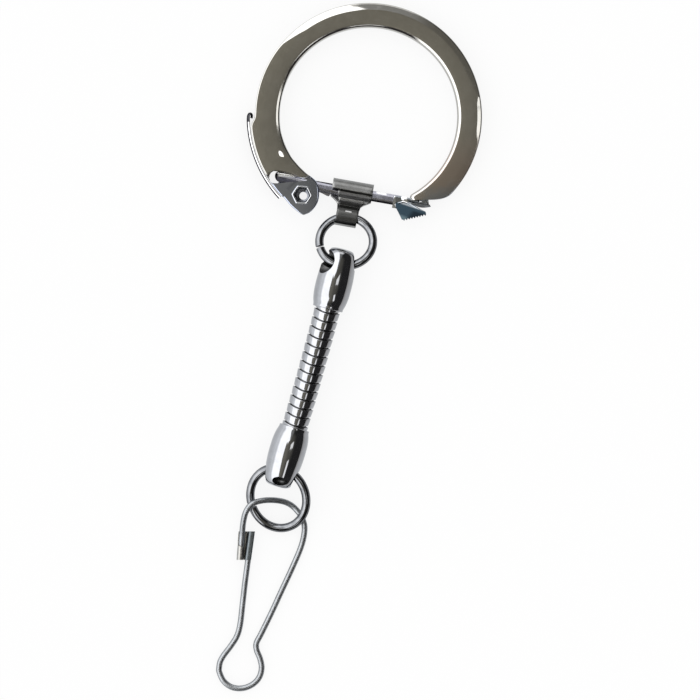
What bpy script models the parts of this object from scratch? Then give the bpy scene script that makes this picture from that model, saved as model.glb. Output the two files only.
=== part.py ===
"""Key clip: hinged C ring, folded hanger, two jump rings, capped snake chain
and a sprung wire snap hook.  Metres, +Z up.  The clip lies on its back on the
plane z = 0, ring towards +Y, hook towards -Y.
"""
import math

import bpy
import bmesh
from mathutils import Matrix, Vector

# ------------------------------------------------------------------ dimensions
U = 0.147e-3                 # drawing unit of the plan, in metres
MM = 1.0e-3
PLAN_X0, PLAN_Y0 = 348.977, 347.291   # plan point that lies on the origin

# C ring, pressed as a flattened tube
RING_CX, RING_CY = 368.5, 116.5    # plan centre
RING_RO, RING_RI = 113.5, 88.8     # outer and inner radius, drawing units
RING_T = 2.8                       # thickness, mm
RING_WALL = 0.48                   # sheet, mm
RING_EDGE = 0.80                   # edge rounding, mm
HEAD_RO = 116.2                    # outer radius where the seam is spread open

# hinge
PIN_X, PIN_Y = 302.0, 195.0
PIN_R, PIN_HOLE_R, LUG_HOLE_R = 1.00, 1.06, 1.12   # mm
PIN_BORE_R = 0.56                                  # mm
LUG_R = 13.6                                       # drawing units

# gate bar
BAR_X, BAR_Y = 352.0, 192.4        # plan point on the bar's centre line
BAR_DROP = math.radians(10.0)      # the bar slopes down to the right
BAR_HALF_W = 5.2                   # drawing units
BAR_Z0, BAR_Z1 = 0.85, 1.95        # mm
TAIL_U, BAR_END_U = -73.2, 53.0    # ends of the centre line, along the bar

# folded hanger
STRAP_HALF = 20.5                  # half width of the upper loop, drawing units
STRAP_WALL = 0.34                  # mm
STRAP_BORE = 1.00                  # radius round the bar, mm
EYE_V = -26.3                      # centre of the lower eye, across the bar
EYE_A, EYE_B = 1.24, 0.92          # half sizes of the lower eye, mm

# jump rings
WIRE_R = 0.62                      # mm
UP_CX, UP_CY, UP_A, UP_B = 346.2, 241.5, 26.8, 24.4
UP_Z, UP_RISE = 2.06, 0.184        # centre height (mm) and slope of its plane
LOW_CX, LOW_CY, LOW_A, LOW_B = 278.3, 497.9, 30.9, 27.3
LOW_TURN = 115.5                   # direction of its long axis, degrees
LOW_Z, LOW_SX, LOW_SY = 1.78, 0.1242, 0.2146

# capped snake chain
CHAIN_X0, CHAIN_Y0 = 343.0, 248.8  # outer end of the upper cap
CHAIN_X1, CHAIN_Y1 = 276.7, 486.6  # outer end of the lower cap
CHAIN_TURN = math.radians(2.4)     # the chain lies in a slight bow
CHAIN_Z = 2.70                     # mm, axis height
CAP_LEN, SOCKET_R, SOCKET_DEPTH = 62.0, 13.75, 6.0
LINKS = 15
LINK_GAP = 1.9                     # drawing units
LINK_R = 13.2
HOLE_R = 1.05                      # mm, radius of the curved eye in each cap

# wire hook
HOOK_R = 0.425                     # mm


# --------------------------------------------------------------------- helpers
def plan(x, y, z_mm=0.0):
    """Plan point (drawing units, y downwards) and height (mm) to metres."""
    return Vector(((x - PLAN_X0) * U, (PLAN_Y0 - y) * U, z_mm * MM))


def bar_pt(u, v):
    """Point given along (u) and across (v) the gate bar, in plan units."""
    c, s = math.cos(BAR_DROP), math.sin(BAR_DROP)
    return BAR_X + u * c + v * s, BAR_Y + u * s - v * c


def polar(r, deg):
    """Point on the ring's plan, angle counter-clockwise from +X."""
    a = math.radians(deg)
    return RING_CX + r * math.cos(a), RING_CY - r * math.sin(a)


def material(name, rgb, rough, metal):
    m = bpy.data.materials.new(name)
    m.use_nodes = True
    b = m.node_tree.nodes["Principled BSDF"]
    b.inputs["Base Color"].default_value = (*rgb, 1.0)
    b.inputs["Roughness"].default_value = rough
    b.inputs["Metallic"].default_value = metal
    return m


def finish(bm, name, mat=None, smooth=40.0):
    bmesh.ops.remove_doubles(bm, verts=bm.verts, dist=1e-7)
    bmesh.ops.recalc_face_normals(bm, faces=bm.faces)
    me = bpy.data.meshes.new(name)
    bm.to_mesh(me)
    bm.free()
    me.shade_smooth()
    me.set_sharp_from_angle(angle=math.radians(smooth))
    ob = bpy.data.objects.new(name, me)
    bpy.context.collection.objects.link(ob)
    if mat:
        me.materials.append(mat)
    return ob


def prism(name, pts, z0, z1, mat=None, edge=0.0, segs=2, lift=None):
    """Plan outline extruded from z0 to z1 (mm); edge rounds both rims (mm)."""
    bm = bmesh.new()
    vs = [bm.verts.new(plan(x, y, z0)) for x, y in pts]
    f = bm.faces.new(vs)
    ext = bmesh.ops.extrude_face_region(bm, geom=[f])
    up = [g for g in ext["geom"] if isinstance(g, bmesh.types.BMVert)]
    bmesh.ops.translate(bm, verts=up, vec=(0, 0, (z1 - z0) * MM))
    bmesh.ops.recalc_face_normals(bm, faces=bm.faces)
    if edge > 0.0:
        rims = [e for e in bm.edges
                if abs(e.verts[0].co.z - e.verts[1].co.z) < 1e-9]
        bmesh.ops.bevel(bm, geom=rims, offset=edge * MM, offset_type='OFFSET',
                        segments=segs, profile=0.5, affect='EDGES',
                        clamp_overlap=True)
    if lift:
        for v in bm.verts:
            v.co.z += lift(v.co)
    return finish(bm, name, mat)


def lathe(name, prof, origin, axis, steps, mat=None, turn=0.0, smooth=40.0):
    """Profile of (radius, along) pairs in metres spun round an axis."""
    axis = axis.normalized()
    side = axis.orthogonal().normalized()
    if turn:
        side = Matrix.Rotation(turn, 3, axis) @ side
    bm = bmesh.new()
    vs = [bm.verts.new(origin + axis * t + side * r) for r, t in prof]
    es = [bm.edges.new((a, b)) for a, b in zip(vs, vs[1:])]
    bmesh.ops.spin(bm, geom=vs + es, cent=origin, axis=axis,
                   angle=2 * math.pi, steps=steps, use_duplicate=False)
    bmesh.ops.remove_doubles(bm, verts=bm.verts, dist=1e-6)
    return finish(bm, name, mat, smooth)


def wire(name, pts, radius, mat, res=2, closed=False):
    """Round wire along points in metres, with flat closed ends."""
    cu = bpy.data.curves.new(name, 'CURVE')
    cu.dimensions = '3D'
    cu.bevel_depth = radius
    cu.bevel_resolution = res
    cu.use_fill_caps = not closed
    sp = cu.splines.new('POLY')
    sp.points.add(len(pts) - 1)
    for p, co in zip(sp.points, pts):
        p.co = (*co, 1.0)
    sp.use_cyclic_u = closed
    sp.use_smooth = True
    ob = bpy.data.objects.new(name, cu)
    bpy.context.collection.objects.link(ob)
    if mat:
        cu.materials.append(mat)
    return ob


def tube(name, pts, radius, sides=12):
    """Closed round mesh along points in metres, used to cut a curved way."""
    bm = bmesh.new()
    rows = []
    ref = None
    for i, p in enumerate(pts):
        d = (pts[min(i + 1, len(pts) - 1)] - pts[max(i - 1, 0)]).normalized()
        ref = d.orthogonal() if ref is None else ref - d * ref.dot(d)
        ref.normalize()
        bi = d.cross(ref)
        rows.append([bm.verts.new(p + (ref * math.cos(2 * math.pi * k / sides)
                                       + bi * math.sin(2 * math.pi * k / sides)) * radius)
                     for k in range(sides)])
    for a, b in zip(rows, rows[1:]):
        for k in range(sides):
            j = (k + 1) % sides
            bm.faces.new((a[k], a[j], b[j], b[k]))
    bm.faces.new(rows[0][::-1])
    bm.faces.new(rows[-1])
    return finish(bm, name)


def guide(ob):
    ob.hide_render = True
    ob.display_type = 'WIRE'
    return ob


def boolean(ob, tool, op):
    m = ob.modifiers.new(op.lower() + "_" + tool.name, 'BOOLEAN')
    m.operation = op
    m.solver = 'EXACT'
    m.object = guide(tool)


def smooth_path(pts, per):
    """Smooth curve through the points, with per steps a span."""
    out = []
    n = len(pts)
    for i in range(n - 1):
        p0 = pts[max(i - 1, 0)]
        p1, p2 = pts[i], pts[i + 1]
        p3 = pts[min(i + 2, n - 1)]
        for k in range(per):
            t = k / per
            out.append(0.5 * ((2 * p1) + (p2 - p0) * t
                              + (2 * p0 - 5 * p1 + 4 * p2 - p3) * t * t
                              + (3 * p1 - p0 - 3 * p2 + p3) * t ** 3))
    out.append(pts[-1])
    return out


def hold(name, at, obs, parent=None):
    """Empty on a joint's axis that carries the pieces that move about it."""
    e = bpy.data.objects.new(name, None)
    bpy.context.collection.objects.link(e)
    e.empty_display_size = 0.002
    e.location = at
    if parent:
        e.parent = parent
        e.matrix_parent_inverse = Matrix.Translation(parent_at[parent.name]).inverted()
    parent_at[name] = Vector(at)
    for o in obs:
        o.parent = e
        o.matrix_parent_inverse = Matrix.Translation(Vector(at)).inverted()
    return e


parent_at = {}


# ---------------------------------------------------------------------- pieces
def build_ring(mat):
    """Flattened tube bent to a C; its seam opens into two hinge cheeks."""
    mouth = -44.5
    outer = [polar(RING_RO, a) for a in
             [mouth + i * (178.0 - mouth) / 44 for i in range(45)]]
    outer += [polar(RING_RO + (HEAD_RO - RING_RO) * k, 178 + 5 * k)
              for k in (0.4, 1.0)]
    outer += [polar(HEAD_RO, a) for a in (190, 198, 206, 214, 220, 222.6)]
    head = [(283.6, 197.4), (290.4, 205.3), (298.2, 211.9), (303.4, 214.9),
            (309.8, 212.2), (314.9, 207.0), (318.2, 200.8), (319.2, 194.0),
            (318.4, 186.5), (316.0, 181.0), (311.5, 177.0)]
    inner = [(306.2, 173.2), (299.0, 166.2)] + \
            [polar(87.2 + 1.6 * k / 3, 208 - 6 * k) for k in range(4)]
    inner += [polar(RING_RI, a) for a in
              [184 - i * (184 + 63.6) / 42 for i in range(43)]]
    end = [(411.2, 200.0), (434.0, 199.6)]
    outline = end[::-1] + inner[::-1] + head[::-1] + outer[::-1]
    ring = prism("ring_body", outline, 0.0, RING_T, mat, RING_EDGE, 3)

    w = RING_WALL / (U / MM)
    z0, z1 = RING_WALL, RING_T - RING_WALL
    a0, a1 = -70.0, 205.0
    n = 54
    angles = [a0 + i * (a1 - a0) / n for i in range(n + 1)]
    duct = [polar(RING_RO - w, a) for a in angles] + \
           [polar(RING_RI + w, a) for a in angles[::-1]]
    duct = prism("guide_ring_duct", duct, z0, z1)
    boolean(ring, duct, 'DIFFERENCE')

    slot = [polar(82.0, 200.0), polar(100.0, 199.0), polar(126.0, 200.0),
            polar(127.0, 215.0), (262.0, 215.0), (290.0, 235.0),
            (330.0, 225.0), (335.0, 170.0), (312.0, 160.0)]
    slot = prism("guide_hinge_slot", slot, z0 + 0.02, z1 - 0.02)
    boolean(ring, slot, 'DIFFERENCE')

    win = []
    for cx, cy, b0 in ((273.6, 177.2, 100.0), (290.6, 180.2, -80.0)):
        for i in range(9):
            b = math.radians(b0 + i * 22.5)
            win.append((cx + 6.0 * math.cos(b), cy - 6.0 * math.sin(b)))
    boolean(ring, prism("guide_window", win, -1.0, RING_T + 1.0), 'DIFFERENCE')

    prof = [(0, -1.0), (1.46, -1.0), (1.46, 0.0), (PIN_HOLE_R, 0.46),
            (PIN_HOLE_R, RING_T + 1.0), (0, RING_T + 1.0)]
    pin = lathe("guide_pin_hole", [(r * MM, t * MM) for r, t in prof],
                plan(PIN_X, PIN_Y), Vector((0, 0, 1)), 24)
    boolean(ring, pin, 'DIFFERENCE')
    return ring


def build_rivet(mat):
    """Hollow rivet: six-sided rolled rim in front, flush flare behind."""
    n = 24
    c = plan(PIN_X, PIN_Y)

    def loop(fn, z):
        return [c + Vector((fn(i) * math.cos(i * 2 * math.pi / n) * MM,
                            fn(i) * math.sin(i * 2 * math.pi / n) * MM, z * MM))
                for i in range(n)]

    def hexa(size):
        def fn(i):
            a = (i * 2 * math.pi / n + math.radians(10)) % (math.pi / 3)
            return size * math.cos(math.pi / 6) / math.cos(a - math.pi / 6)
        return fn

    top = RING_T
    rows = [loop(lambda i: PIN_BORE_R, 0.03), loop(lambda i: 1.36, 0.03),
            loop(lambda i: PIN_R, 0.45), loop(lambda i: PIN_R, top + 0.04),
            loop(hexa(1.52), top + 0.04), loop(hexa(1.55), top + 0.28),
            loop(hexa(1.40), top + 0.40), loop(hexa(1.22), top + 0.36),
            loop(hexa(1.10), top + 0.12), loop(lambda i: PIN_BORE_R, top + 0.10)]
    bm = bmesh.new()
    rings = [[bm.verts.new(p) for p in r] for r in rows]
    for a, b in zip(rings, rings[1:] + rings[:1]):
        for i in range(n):
            j = (i + 1) % n
            bm.faces.new((a[i], a[j], b[j], b[i]))
    return finish(bm, "hinge_rivet", mat)


def build_spring(mat):
    """Leaf spring on the open back of the ring, curled at its upper end."""
    r0, r1 = 118.5, 122.1
    angles = [181.6 + i * (222.4 - 181.6) / 10 for i in range(11)]
    curl = [polar(121.8, 180.2), polar(120.8, 178.8), polar(118.9, 178.1),
            polar(116.8, 178.3), polar(115.6, 179.3), polar(116.2, 180.5),
            polar(118.2, 181.2)]
    pts = [polar(r1, a) for a in angles[::-1]] + curl + \
          [polar(r0, a) for a in angles]
    return prism("leaf_spring", pts, 0.35, RING_T - 0.35, mat, 0.08, 1)


def build_gate(mat_bar, mat_tab):
    """Gate bar with its tail and hinge lug, and the latch folded on its end."""
    h = BAR_HALF_W
    pin_u = (PIN_X - BAR_X) * math.cos(BAR_DROP) + (PIN_Y - BAR_Y) * math.sin(BAR_DROP)
    pin_v = (PIN_X - BAR_X) * math.sin(BAR_DROP) - (PIN_Y - BAR_Y) * math.cos(BAR_DROP)

    def arc(cu, cv, r, a0, a1, n):
        return [(cu + r * math.cos(math.radians(a0 + (a1 - a0) * i / n)),
                 cv + r * math.sin(math.radians(a0 + (a1 - a0) * i / n)))
                for i in range(n + 1)]

    pts = [(BAR_END_U, -h), (BAR_END_U, h)]
    pts += arc(TAIL_U, 0.0, h, 90, 212, 6)
    pts += arc(pin_u, pin_v, LUG_R, 218, 357, 9)
    pts += [(-30.0, -7.4), (-24.5, -h)]
    bar = prism("gate_bar", [bar_pt(u, v) for u, v in pts], BAR_Z0, BAR_Z1,
                mat_bar, 0.16, 2)
    hole = lathe("guide_lug_hole",
                 [(0, 0), (LUG_HOLE_R * MM, 0), (LUG_HOLE_R * MM, 4 * MM), (0, 4 * MM)],
                 plan(PIN_X, PIN_Y, -0.5), Vector((0, 0, 1)), 24)
    boolean(bar, hole, 'DIFFERENCE')

    def box(name, u0, u1, v0, v1, z0, z1, m=None, edge=0.0):
        return prism(name, [bar_pt(u0, v0), bar_pt(u1, v0), bar_pt(u1, v1),
                            bar_pt(u0, v1)], z0, z1, m, edge, 1)

    g = 0.45
    tab = box("latch_tab", 42.0, BAR_END_U + 3.6, -h - 3.0, 2.6,
              BAR_Z1 + 0.06, BAR_Z1 + 0.46, mat_tab)
    boolean(tab, box("guide_tab_side", 42.3, BAR_END_U + 3.2, -h - 2.8, -h - g,
                     BAR_Z0, BAR_Z1 + 0.30), 'UNION')
    boolean(tab, box("guide_tab_end", BAR_END_U + g, BAR_END_U + 3.4, -h - 2.6, 2.4,
                     BAR_Z0 + 0.03, BAR_Z1 + 0.26), 'UNION')
    tongue = [(BAR_END_U + 1.0, -4.6), (68.0, -4.2), (77.5, -1.2), (78.6, 0.4),
              (77.6, 1.8), (66.0, 2.0), (BAR_END_U + 1.0, 1.4)]
    boolean(tab, prism("guide_tongue", [bar_pt(u, v) for u, v in tongue],
                       BAR_Z0 + 0.05, BAR_Z1 - 0.02), 'UNION')
    nose = [(423.4, 206.0), (429.4, 206.8), (429.0, 197.0), (426.6, 194.0),
            (424.0, 196.0)]
    boolean(tab, prism("guide_nose", nose, BAR_Z0 + 0.10, BAR_Z1 - 0.08), 'UNION')

    teeth = 8
    edge = []
    ax, ay, bx, by = 426.6, 214.4, 402.4, 219.9
    for i in range(teeth):
        for k, out in ((0.0, 0.0), (0.5, 1.25)):
            t = (i + k) / teeth
            edge.append((ax + (bx - ax) * t + 0.22 * out, ay + (by - ay) * t + 0.97 * out))
    # the grip leans forward from the bar
    root_y, lean = 204.2, 0.42
    plate = [(396.4, 204.9), (405.0, 203.4), (412.0, 204.6), (419.4, 208.6),
             (425.2, 211.8)] + edge + [(402.2, 220.0), (400.0, 214.0)]
    plate = prism("guide_grip", plate, BAR_Z1 + 0.11, BAR_Z1 + 0.53, None, 0.0, 1,
                  lambda co: ((PLAN_Y0 - root_y) * U - co.y) * lean)
    boolean(tab, plate, 'UNION')
    return bar, tab


def build_strap(mat):
    """Sheet folded round the bar and round the upper jump ring."""
    k = U / MM
    v_top = 0.5 + (STRAP_BORE + STRAP_WALL) / k
    v_low = EYE_V - (EYE_A + STRAP_WALL) / k
    zc = 0.5 * RING_T

    def half(v):
        best = 0.0
        d = (v - 0.5) * k / (STRAP_BORE + STRAP_WALL)
        if abs(d) < 1:
            best = (STRAP_BORE + STRAP_WALL) * math.sqrt(1 - d * d)
        d = (v - EYE_V) * k / (EYE_A + STRAP_WALL)
        if abs(d) < 1:
            best = max(best, (EYE_B + 0.36) * math.sqrt(1 - d * d))
        if EYE_V < v < 0:
            best = max(best, 0.42)
        return best

    n = 40
    vs = [v_top + (v_low - v_top) * 0.5 * (1 - math.cos(math.pi * i / n))
          for i in range(n + 1)]
    loop = [(v, zc + half(v)) for v in vs] + [(v, zc - half(v)) for v in vs[-2:0:-1]]
    bm = bmesh.new()
    u0, u1 = -STRAP_HALF, STRAP_HALF
    row = []
    for v, z in loop:
        x, y = bar_pt(u0, v)
        row.append(bm.verts.new(plan(x, y, z)))
    f = bm.faces.new(row)
    ext = bmesh.ops.extrude_face_region(bm, geom=[f])
    up = [g for g in ext["geom"] if isinstance(g, bmesh.types.BMVert)]
    xa, ya = bar_pt(u0, 0)
    xb, yb = bar_pt(u1, 0)
    bmesh.ops.translate(bm, verts=up, vec=plan(xb, yb) - plan(xa, ya))
    strap = finish(bm, "hanger_strap", mat)

    shape = [(-STRAP_HALF - 1, 14), (STRAP_HALF + 1, 14), (STRAP_HALF + 1, -8.2),
             (15.5, -10.0), (11.4, -12.6), (10.2, -16.0), (10.0, -40.0),
             (-12.6, -40.0), (-12.9, -16.0), (-13.6, -12.0), (-15.6, -9.6),
             (-STRAP_HALF - 1, -8.2)]
    boolean(strap, prism("guide_strap_plan", [bar_pt(u, v) for u, v in shape],
                         -2.0, 5.0), 'INTERSECT')

    axis = (plan(xb, yb) - plan(xa, ya)).normalized()
    across = Vector((0, 0, 1)).cross(axis)
    for name, v, a, b in (("guide_bar_way", 0.0, STRAP_BORE, STRAP_BORE),
                          ("guide_ring_way", EYE_V, EYE_A, EYE_B)):
        bm = bmesh.new()
        x, y = bar_pt(-STRAP_HALF - 3, v)
        c = plan(x, y, zc)
        m = 24
        row = [bm.verts.new(c + across * a * MM * math.cos(i * 2 * math.pi / m)
                            + Vector((0, 0, 1)) * b * MM * math.sin(i * 2 * math.pi / m))
               for i in range(m)]
        f = bm.faces.new(row)
        ext = bmesh.ops.extrude_face_region(bm, geom=[f])
        up = [g for g in ext["geom"] if isinstance(g, bmesh.types.BMVert)]
        bmesh.ops.translate(bm, verts=up, vec=axis * (2 * STRAP_HALF + 6) * U)
        boolean(strap, finish(bm, name), 'DIFFERENCE')
    return strap


def upper_ring_path(a0, a1, n):
    out = []
    for i in range(n + 1):
        a = math.radians(a0 + (a1 - a0) * i / n)
        x, y = UP_CX + UP_A * math.cos(a), UP_CY - UP_B * math.sin(a)
        out.append(plan(x, y, UP_Z + UP_RISE * (y - UP_CY) * U / MM))
    return out


def lower_ring_path(a0, a1, n):
    """The lower ring is sprung a little oval; its angles are those seen from the front."""
    out = []
    for i in range(n + 1):
        a = math.radians(a0 + (a1 - a0) * i / n)
        t = a - math.radians(LOW_TURN)
        r = LOW_A * LOW_B / math.hypot(LOW_B * math.cos(t), LOW_A * math.sin(t))
        dx, dy = r * math.cos(a), r * math.sin(a)
        out.append(plan(LOW_CX + dx, LOW_CY - dy,
                        LOW_Z + (LOW_SX * dx + LOW_SY * dy) * U / MM))
    return out


def build_cap(name, end, axis, mat, way):
    """Turned bullet cap: curved eye at its nose, socket for the last link."""
    prof = [(0.0, 0.0), (8.6, 0.6), (12.4, 2.6), (14.7, 5.6), (16.2, 12.0),
            (17.3, 21.0), (18.0, 29.0), (18.25, 38.0), (17.8, 47.0),
            (16.7, 54.5), (15.2, 60.4), (14.9, CAP_LEN), (SOCKET_R, CAP_LEN),
            (SOCKET_R, CAP_LEN - SOCKET_DEPTH), (0.0, CAP_LEN - SOCKET_DEPTH)]
    cap = lathe(name, [(r * U, t * U) for r, t in prof], end, axis, 24, mat)
    boolean(cap, tube("guide_eye_" + name, way, HOLE_R * MM, 14), 'DIFFERENCE')
    return cap


def chain_run():
    """Start and direction of each link in plan units, the caps' directions and
    the pitch: every link turns a little from the one before."""
    first = CAP_LEN - SOCKET_DEPTH + 0.7
    chord = math.hypot(CHAIN_X1 - CHAIN_X0, CHAIN_Y1 - CHAIN_Y0)
    base = math.atan2(CHAIN_X0 - CHAIN_X1, CHAIN_Y1 - CHAIN_Y0)
    lean = [CHAIN_TURN * (i / (LINKS + 1) - 0.5) for i in range(LINKS + 2)]
    pitch = ((chord - 2 * first * math.cos(lean[0]) + LINK_GAP)
             / sum(math.cos(a) for a in lean[1:-1]))
    dirs = [(-math.sin(base + a), math.cos(base + a)) for a in lean]
    x, y = CHAIN_X0 + dirs[0][0] * first, CHAIN_Y0 + dirs[0][1] * first
    run = []
    for dx, dy in dirs[1:-1]:
        run.append((x, y, dx, dy))
        x, y = x + dx * pitch, y + dy * pitch
    return run, dirs[0], dirs[-1], pitch


def build_link(name, start, axis, pitch, mat):
    """Short sleeve; its neck and bead hold inside the link before it."""
    ln = pitch - LINK_GAP
    prof = [(0.0, -5.7), (3.4, -5.7), (5.1, -4.6), (2.7, -2.6), (2.7, 0.0),
            (LINK_R - 0.5, 0.0), (LINK_R, 0.6), (LINK_R, ln - 0.6),
            (LINK_R - 0.5, ln), (4.7, ln), (4.7, ln - 1.5),
            (10.2, ln - 1.5), (10.2, 2.1), (0.0, 2.1)]
    if name.endswith("_01"):
        prof = [(0.0, 0.0)] + prof[5:]     # the first one has no neck
    return lathe(name, [(r * U, t * U) for r, t in prof], start, axis, 12, mat)


HOOK_FRAME = [   # plan x, plan y, height mm: catch end, round the top, right leg, eye
    (240.3, 558.4, 0.86), (241.0, 548.0, 0.86), (241.9, 536.0, 0.98),
    (243.2, 523.0, 1.62), (245.8, 512.2, 2.13), (251.6, 504.2, 2.24),
    (261.0, 500.2, 1.92), (272.0, 499.3, 1.42), (283.0, 501.2, 0.86),
    (291.5, 505.6, 0.49), (298.4, 512.4, 0.44), (303.2, 521.0, 0.44),
    (304.5, 531.0, 0.44), (301.2, 546.5, 0.44), (292.3, 567.8, 0.44),
    (281.7, 590.6, 0.44), (271.0, 613.8, 0.44), (260.8, 634.6, 0.44),
    (256.3, 643.5, 0.44), (256.6, 650.5, 0.44), (260.0, 659.0, 0.44),
    (261.6, 668.4, 0.44), (259.0, 678.0, 0.44), (251.8, 685.2, 0.44),
    (241.6, 688.7, 0.44), (231.2, 687.3, 0.44), (223.2, 681.0, 0.44),
    (219.1, 672.0, 0.44)]
HOOK_GATE = [
    (218.85, 669.6, 0.44), (219.9, 662.6, 0.44), (223.6, 655.6, 0.44),
    (230.6, 646.4, 0.44), (237.0, 636.0, 0.44), (240.2, 624.0, 0.44),
    (242.3, 606.0, 0.50), (244.8, 584.0, 0.60), (247.6, 563.0, 0.76),
    (250.0, 546.0, 0.86), (251.9, 532.0, 0.90)]


def build_hook(mat_wire, mat_catch):
    frame_pts = smooth_path([plan(*p) for p in HOOK_FRAME], 2)
    gate_pts = smooth_path([plan(*p) for p in HOOK_GATE], 2)
    frame = wire("hook_frame", frame_pts, HOOK_R * MM, mat_wire, 1)
    gate = wire("hook_gate", gate_pts, HOOK_R * MM, mat_wire, 1)
    # pressed catch: a channel closed round the frame's end, open to the right
    block = [(246.2, 531.6), (254.8, 531.6), (251.4, 560.2), (236.2, 560.2),
             (237.6, 543.0)]
    catch = prism("hook_catch", block, 0.05, 1.72, mat_catch, 0.0)
    # room for the sprung wire between the front and the back leaf
    room = [(248.0, 526.0), (262.0, 526.0), (262.0, 566.0), (244.6, 566.0),
            (246.2, 545.0)]
    boolean(catch, prism("guide_catch_room", room, 0.36, 1.40), 'DIFFERENCE')
    bore = [plan(*p) for p in [(239.7, 566.0, 0.86)] + HOOK_FRAME[:4]]
    boolean(catch, tube("guide_catch_bore", smooth_path(bore, 3),
                        (HOOK_R + 0.07) * MM, 12), 'DIFFERENCE')
    return frame, gate, catch


# ----------------------------------------------------------------------- model
def main():
    for ob in list(bpy.data.objects):
        bpy.data.objects.remove(ob, do_unlink=True)

    chrome = (0.62, 0.62, 0.63)
    ring = build_ring(material("ring_nickel", (0.55, 0.54, 0.52), 0.12, 1.0))
    rivet = build_rivet(material("rivet_nickel", (0.70, 0.71, 0.73), 0.14, 1.0))
    spring = build_spring(material("spring_steel", (0.72, 0.72, 0.74), 0.18, 1.0))
    bar, tab = build_gate(material("bar_nickel", (0.46, 0.46, 0.52), 0.20, 1.0),
                          material("latch_nickel", (0.30, 0.36, 0.42), 0.26, 1.0))
    strap = build_strap(material("strap_nickel", (0.44, 0.44, 0.42), 0.24, 1.0))

    upper = wire("jump_ring_upper", upper_ring_path(195.0, 195.0 + 356.0, 40),
                 WIRE_R * MM, material("upper_ring_nickel", (0.42, 0.43, 0.45), 0.14, 1.0), 2)
    lower = wire("jump_ring_lower", lower_ring_path(200.0, 200.0 + 350.0, 40),
                 WIRE_R * MM, material("lower_ring_nickel", (0.45, 0.46, 0.48), 0.14, 1.0), 2)

    top = plan(CHAIN_X0, CHAIN_Y0, CHAIN_Z)
    low = plan(CHAIN_X1, CHAIN_Y1, CHAIN_Z)
    run, (ux, uy), (lx, ly), pitch = chain_run()
    cap_u = build_cap("cap_upper", top, Vector((ux, -uy, 0)),
                      material("cap_upper_chrome", chrome, 0.08, 1.0),
                      upper_ring_path(165.0, 345.0, 28))
    cap_l = build_cap("cap_lower", low, Vector((-lx, ly, 0)),
                      material("cap_lower_chrome", chrome, 0.08, 1.0),
                      lower_ring_path(10.0, 160.0, 28))
    links, pivots = [], []
    for i, (x, y, dx, dy) in enumerate(run):
        links.append(build_link("link_%02d" % (i + 1), plan(x, y, CHAIN_Z),
                                Vector((dx, -dy, 0)), pitch,
                                material("link_chrome_%02d" % (i + 1), chrome, 0.12, 1.0)))
        pivots.append(plan(x - 0.5 * LINK_GAP * dx, y - 0.5 * LINK_GAP * dy, CHAIN_Z))

    frame, gate, catch = build_hook(material("hook_wire_steel", (0.50, 0.50, 0.50), 0.28, 1.0),
                                    material("catch_steel", (0.46, 0.47, 0.46), 0.30, 1.0))

    # joints: every empty stands on the axis its pieces turn about
    base = hold("ring_frame", plan(RING_CX, RING_CY, 0.0), [ring, rivet, spring])
    e_gate = hold("joint_gate_hinge", plan(PIN_X, PIN_Y, 0.5 * RING_T), [bar, tab], base)
    e_strap = hold("joint_hanger_swing", plan(BAR_X, BAR_Y, 0.5 * RING_T), [strap], e_gate)
    ex, ey = bar_pt(-0.65, EYE_V)
    e_up = hold("joint_upper_ring_tilt", plan(ex, ey, 0.5 * RING_T), [upper], e_strap)
    e_cap = hold("joint_upper_cap_slide", plan(UP_CX, UP_CY, UP_Z), [cap_u, links[0]], e_up)
    carrier = e_cap
    for i in range(1, LINKS):
        obs = [links[i]] + ([cap_l] if i == LINKS - 1 else [])
        carrier = hold("joint_bend_%02d" % i, pivots[i], obs, carrier)
    hole = low + Vector((-lx, ly, 0)) * 15.0 * U
    e_low = hold("joint_lower_ring_tilt", hole, [lower], carrier)
    e_hook = hold("joint_hook_slide", plan(LOW_CX, LOW_CY, LOW_Z), [frame, catch], e_low)
    hold("joint_hook_gate", plan(HOOK_GATE[0][0], HOOK_GATE[0][1], 0.44), [gate], e_hook)


main()
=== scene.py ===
"""Key clip: the finished look of every piece, in metres, in the frame of the solids.

Plan points below are given in drawing units of 0.147 mm, y downwards, and heights
in millimetres above the surface that the clip lies on.
"""

import math

import bmesh
import bpy
import numpy as np
from mathutils import Matrix, Vector


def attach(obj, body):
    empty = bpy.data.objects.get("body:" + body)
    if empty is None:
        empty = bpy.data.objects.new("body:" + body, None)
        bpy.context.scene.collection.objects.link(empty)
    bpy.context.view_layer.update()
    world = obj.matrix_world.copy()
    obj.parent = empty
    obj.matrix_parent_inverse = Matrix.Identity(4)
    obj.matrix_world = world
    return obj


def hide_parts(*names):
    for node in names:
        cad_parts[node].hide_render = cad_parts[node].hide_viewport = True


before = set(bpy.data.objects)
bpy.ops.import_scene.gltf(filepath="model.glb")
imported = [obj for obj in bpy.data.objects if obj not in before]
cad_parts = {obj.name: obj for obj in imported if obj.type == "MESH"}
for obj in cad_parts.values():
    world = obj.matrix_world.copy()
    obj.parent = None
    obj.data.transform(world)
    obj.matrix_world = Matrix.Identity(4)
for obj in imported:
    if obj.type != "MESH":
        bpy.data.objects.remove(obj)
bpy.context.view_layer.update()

U, MM = 0.147e-3, 1.0e-3
PLAN_X0, PLAN_Y0 = 348.977, 347.291
K = U / MM                                   # one drawing unit in mm


# ------------------------------------------------------------------ geometry
def plan(x, y, z_mm=0.0):
    return np.array([(x - PLAN_X0) * U, (PLAN_Y0 - y) * U, z_mm * MM])


def plan_rows(xy, z_mm):
    xy, z = np.asarray(xy, float), np.asarray(z_mm, float)
    out = np.empty(xy.shape[:-1] + (3,))
    out[..., 0] = (xy[..., 0] - PLAN_X0) * U
    out[..., 1] = (PLAN_Y0 - xy[..., 1]) * U
    out[..., 2] = z * MM
    return out


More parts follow.
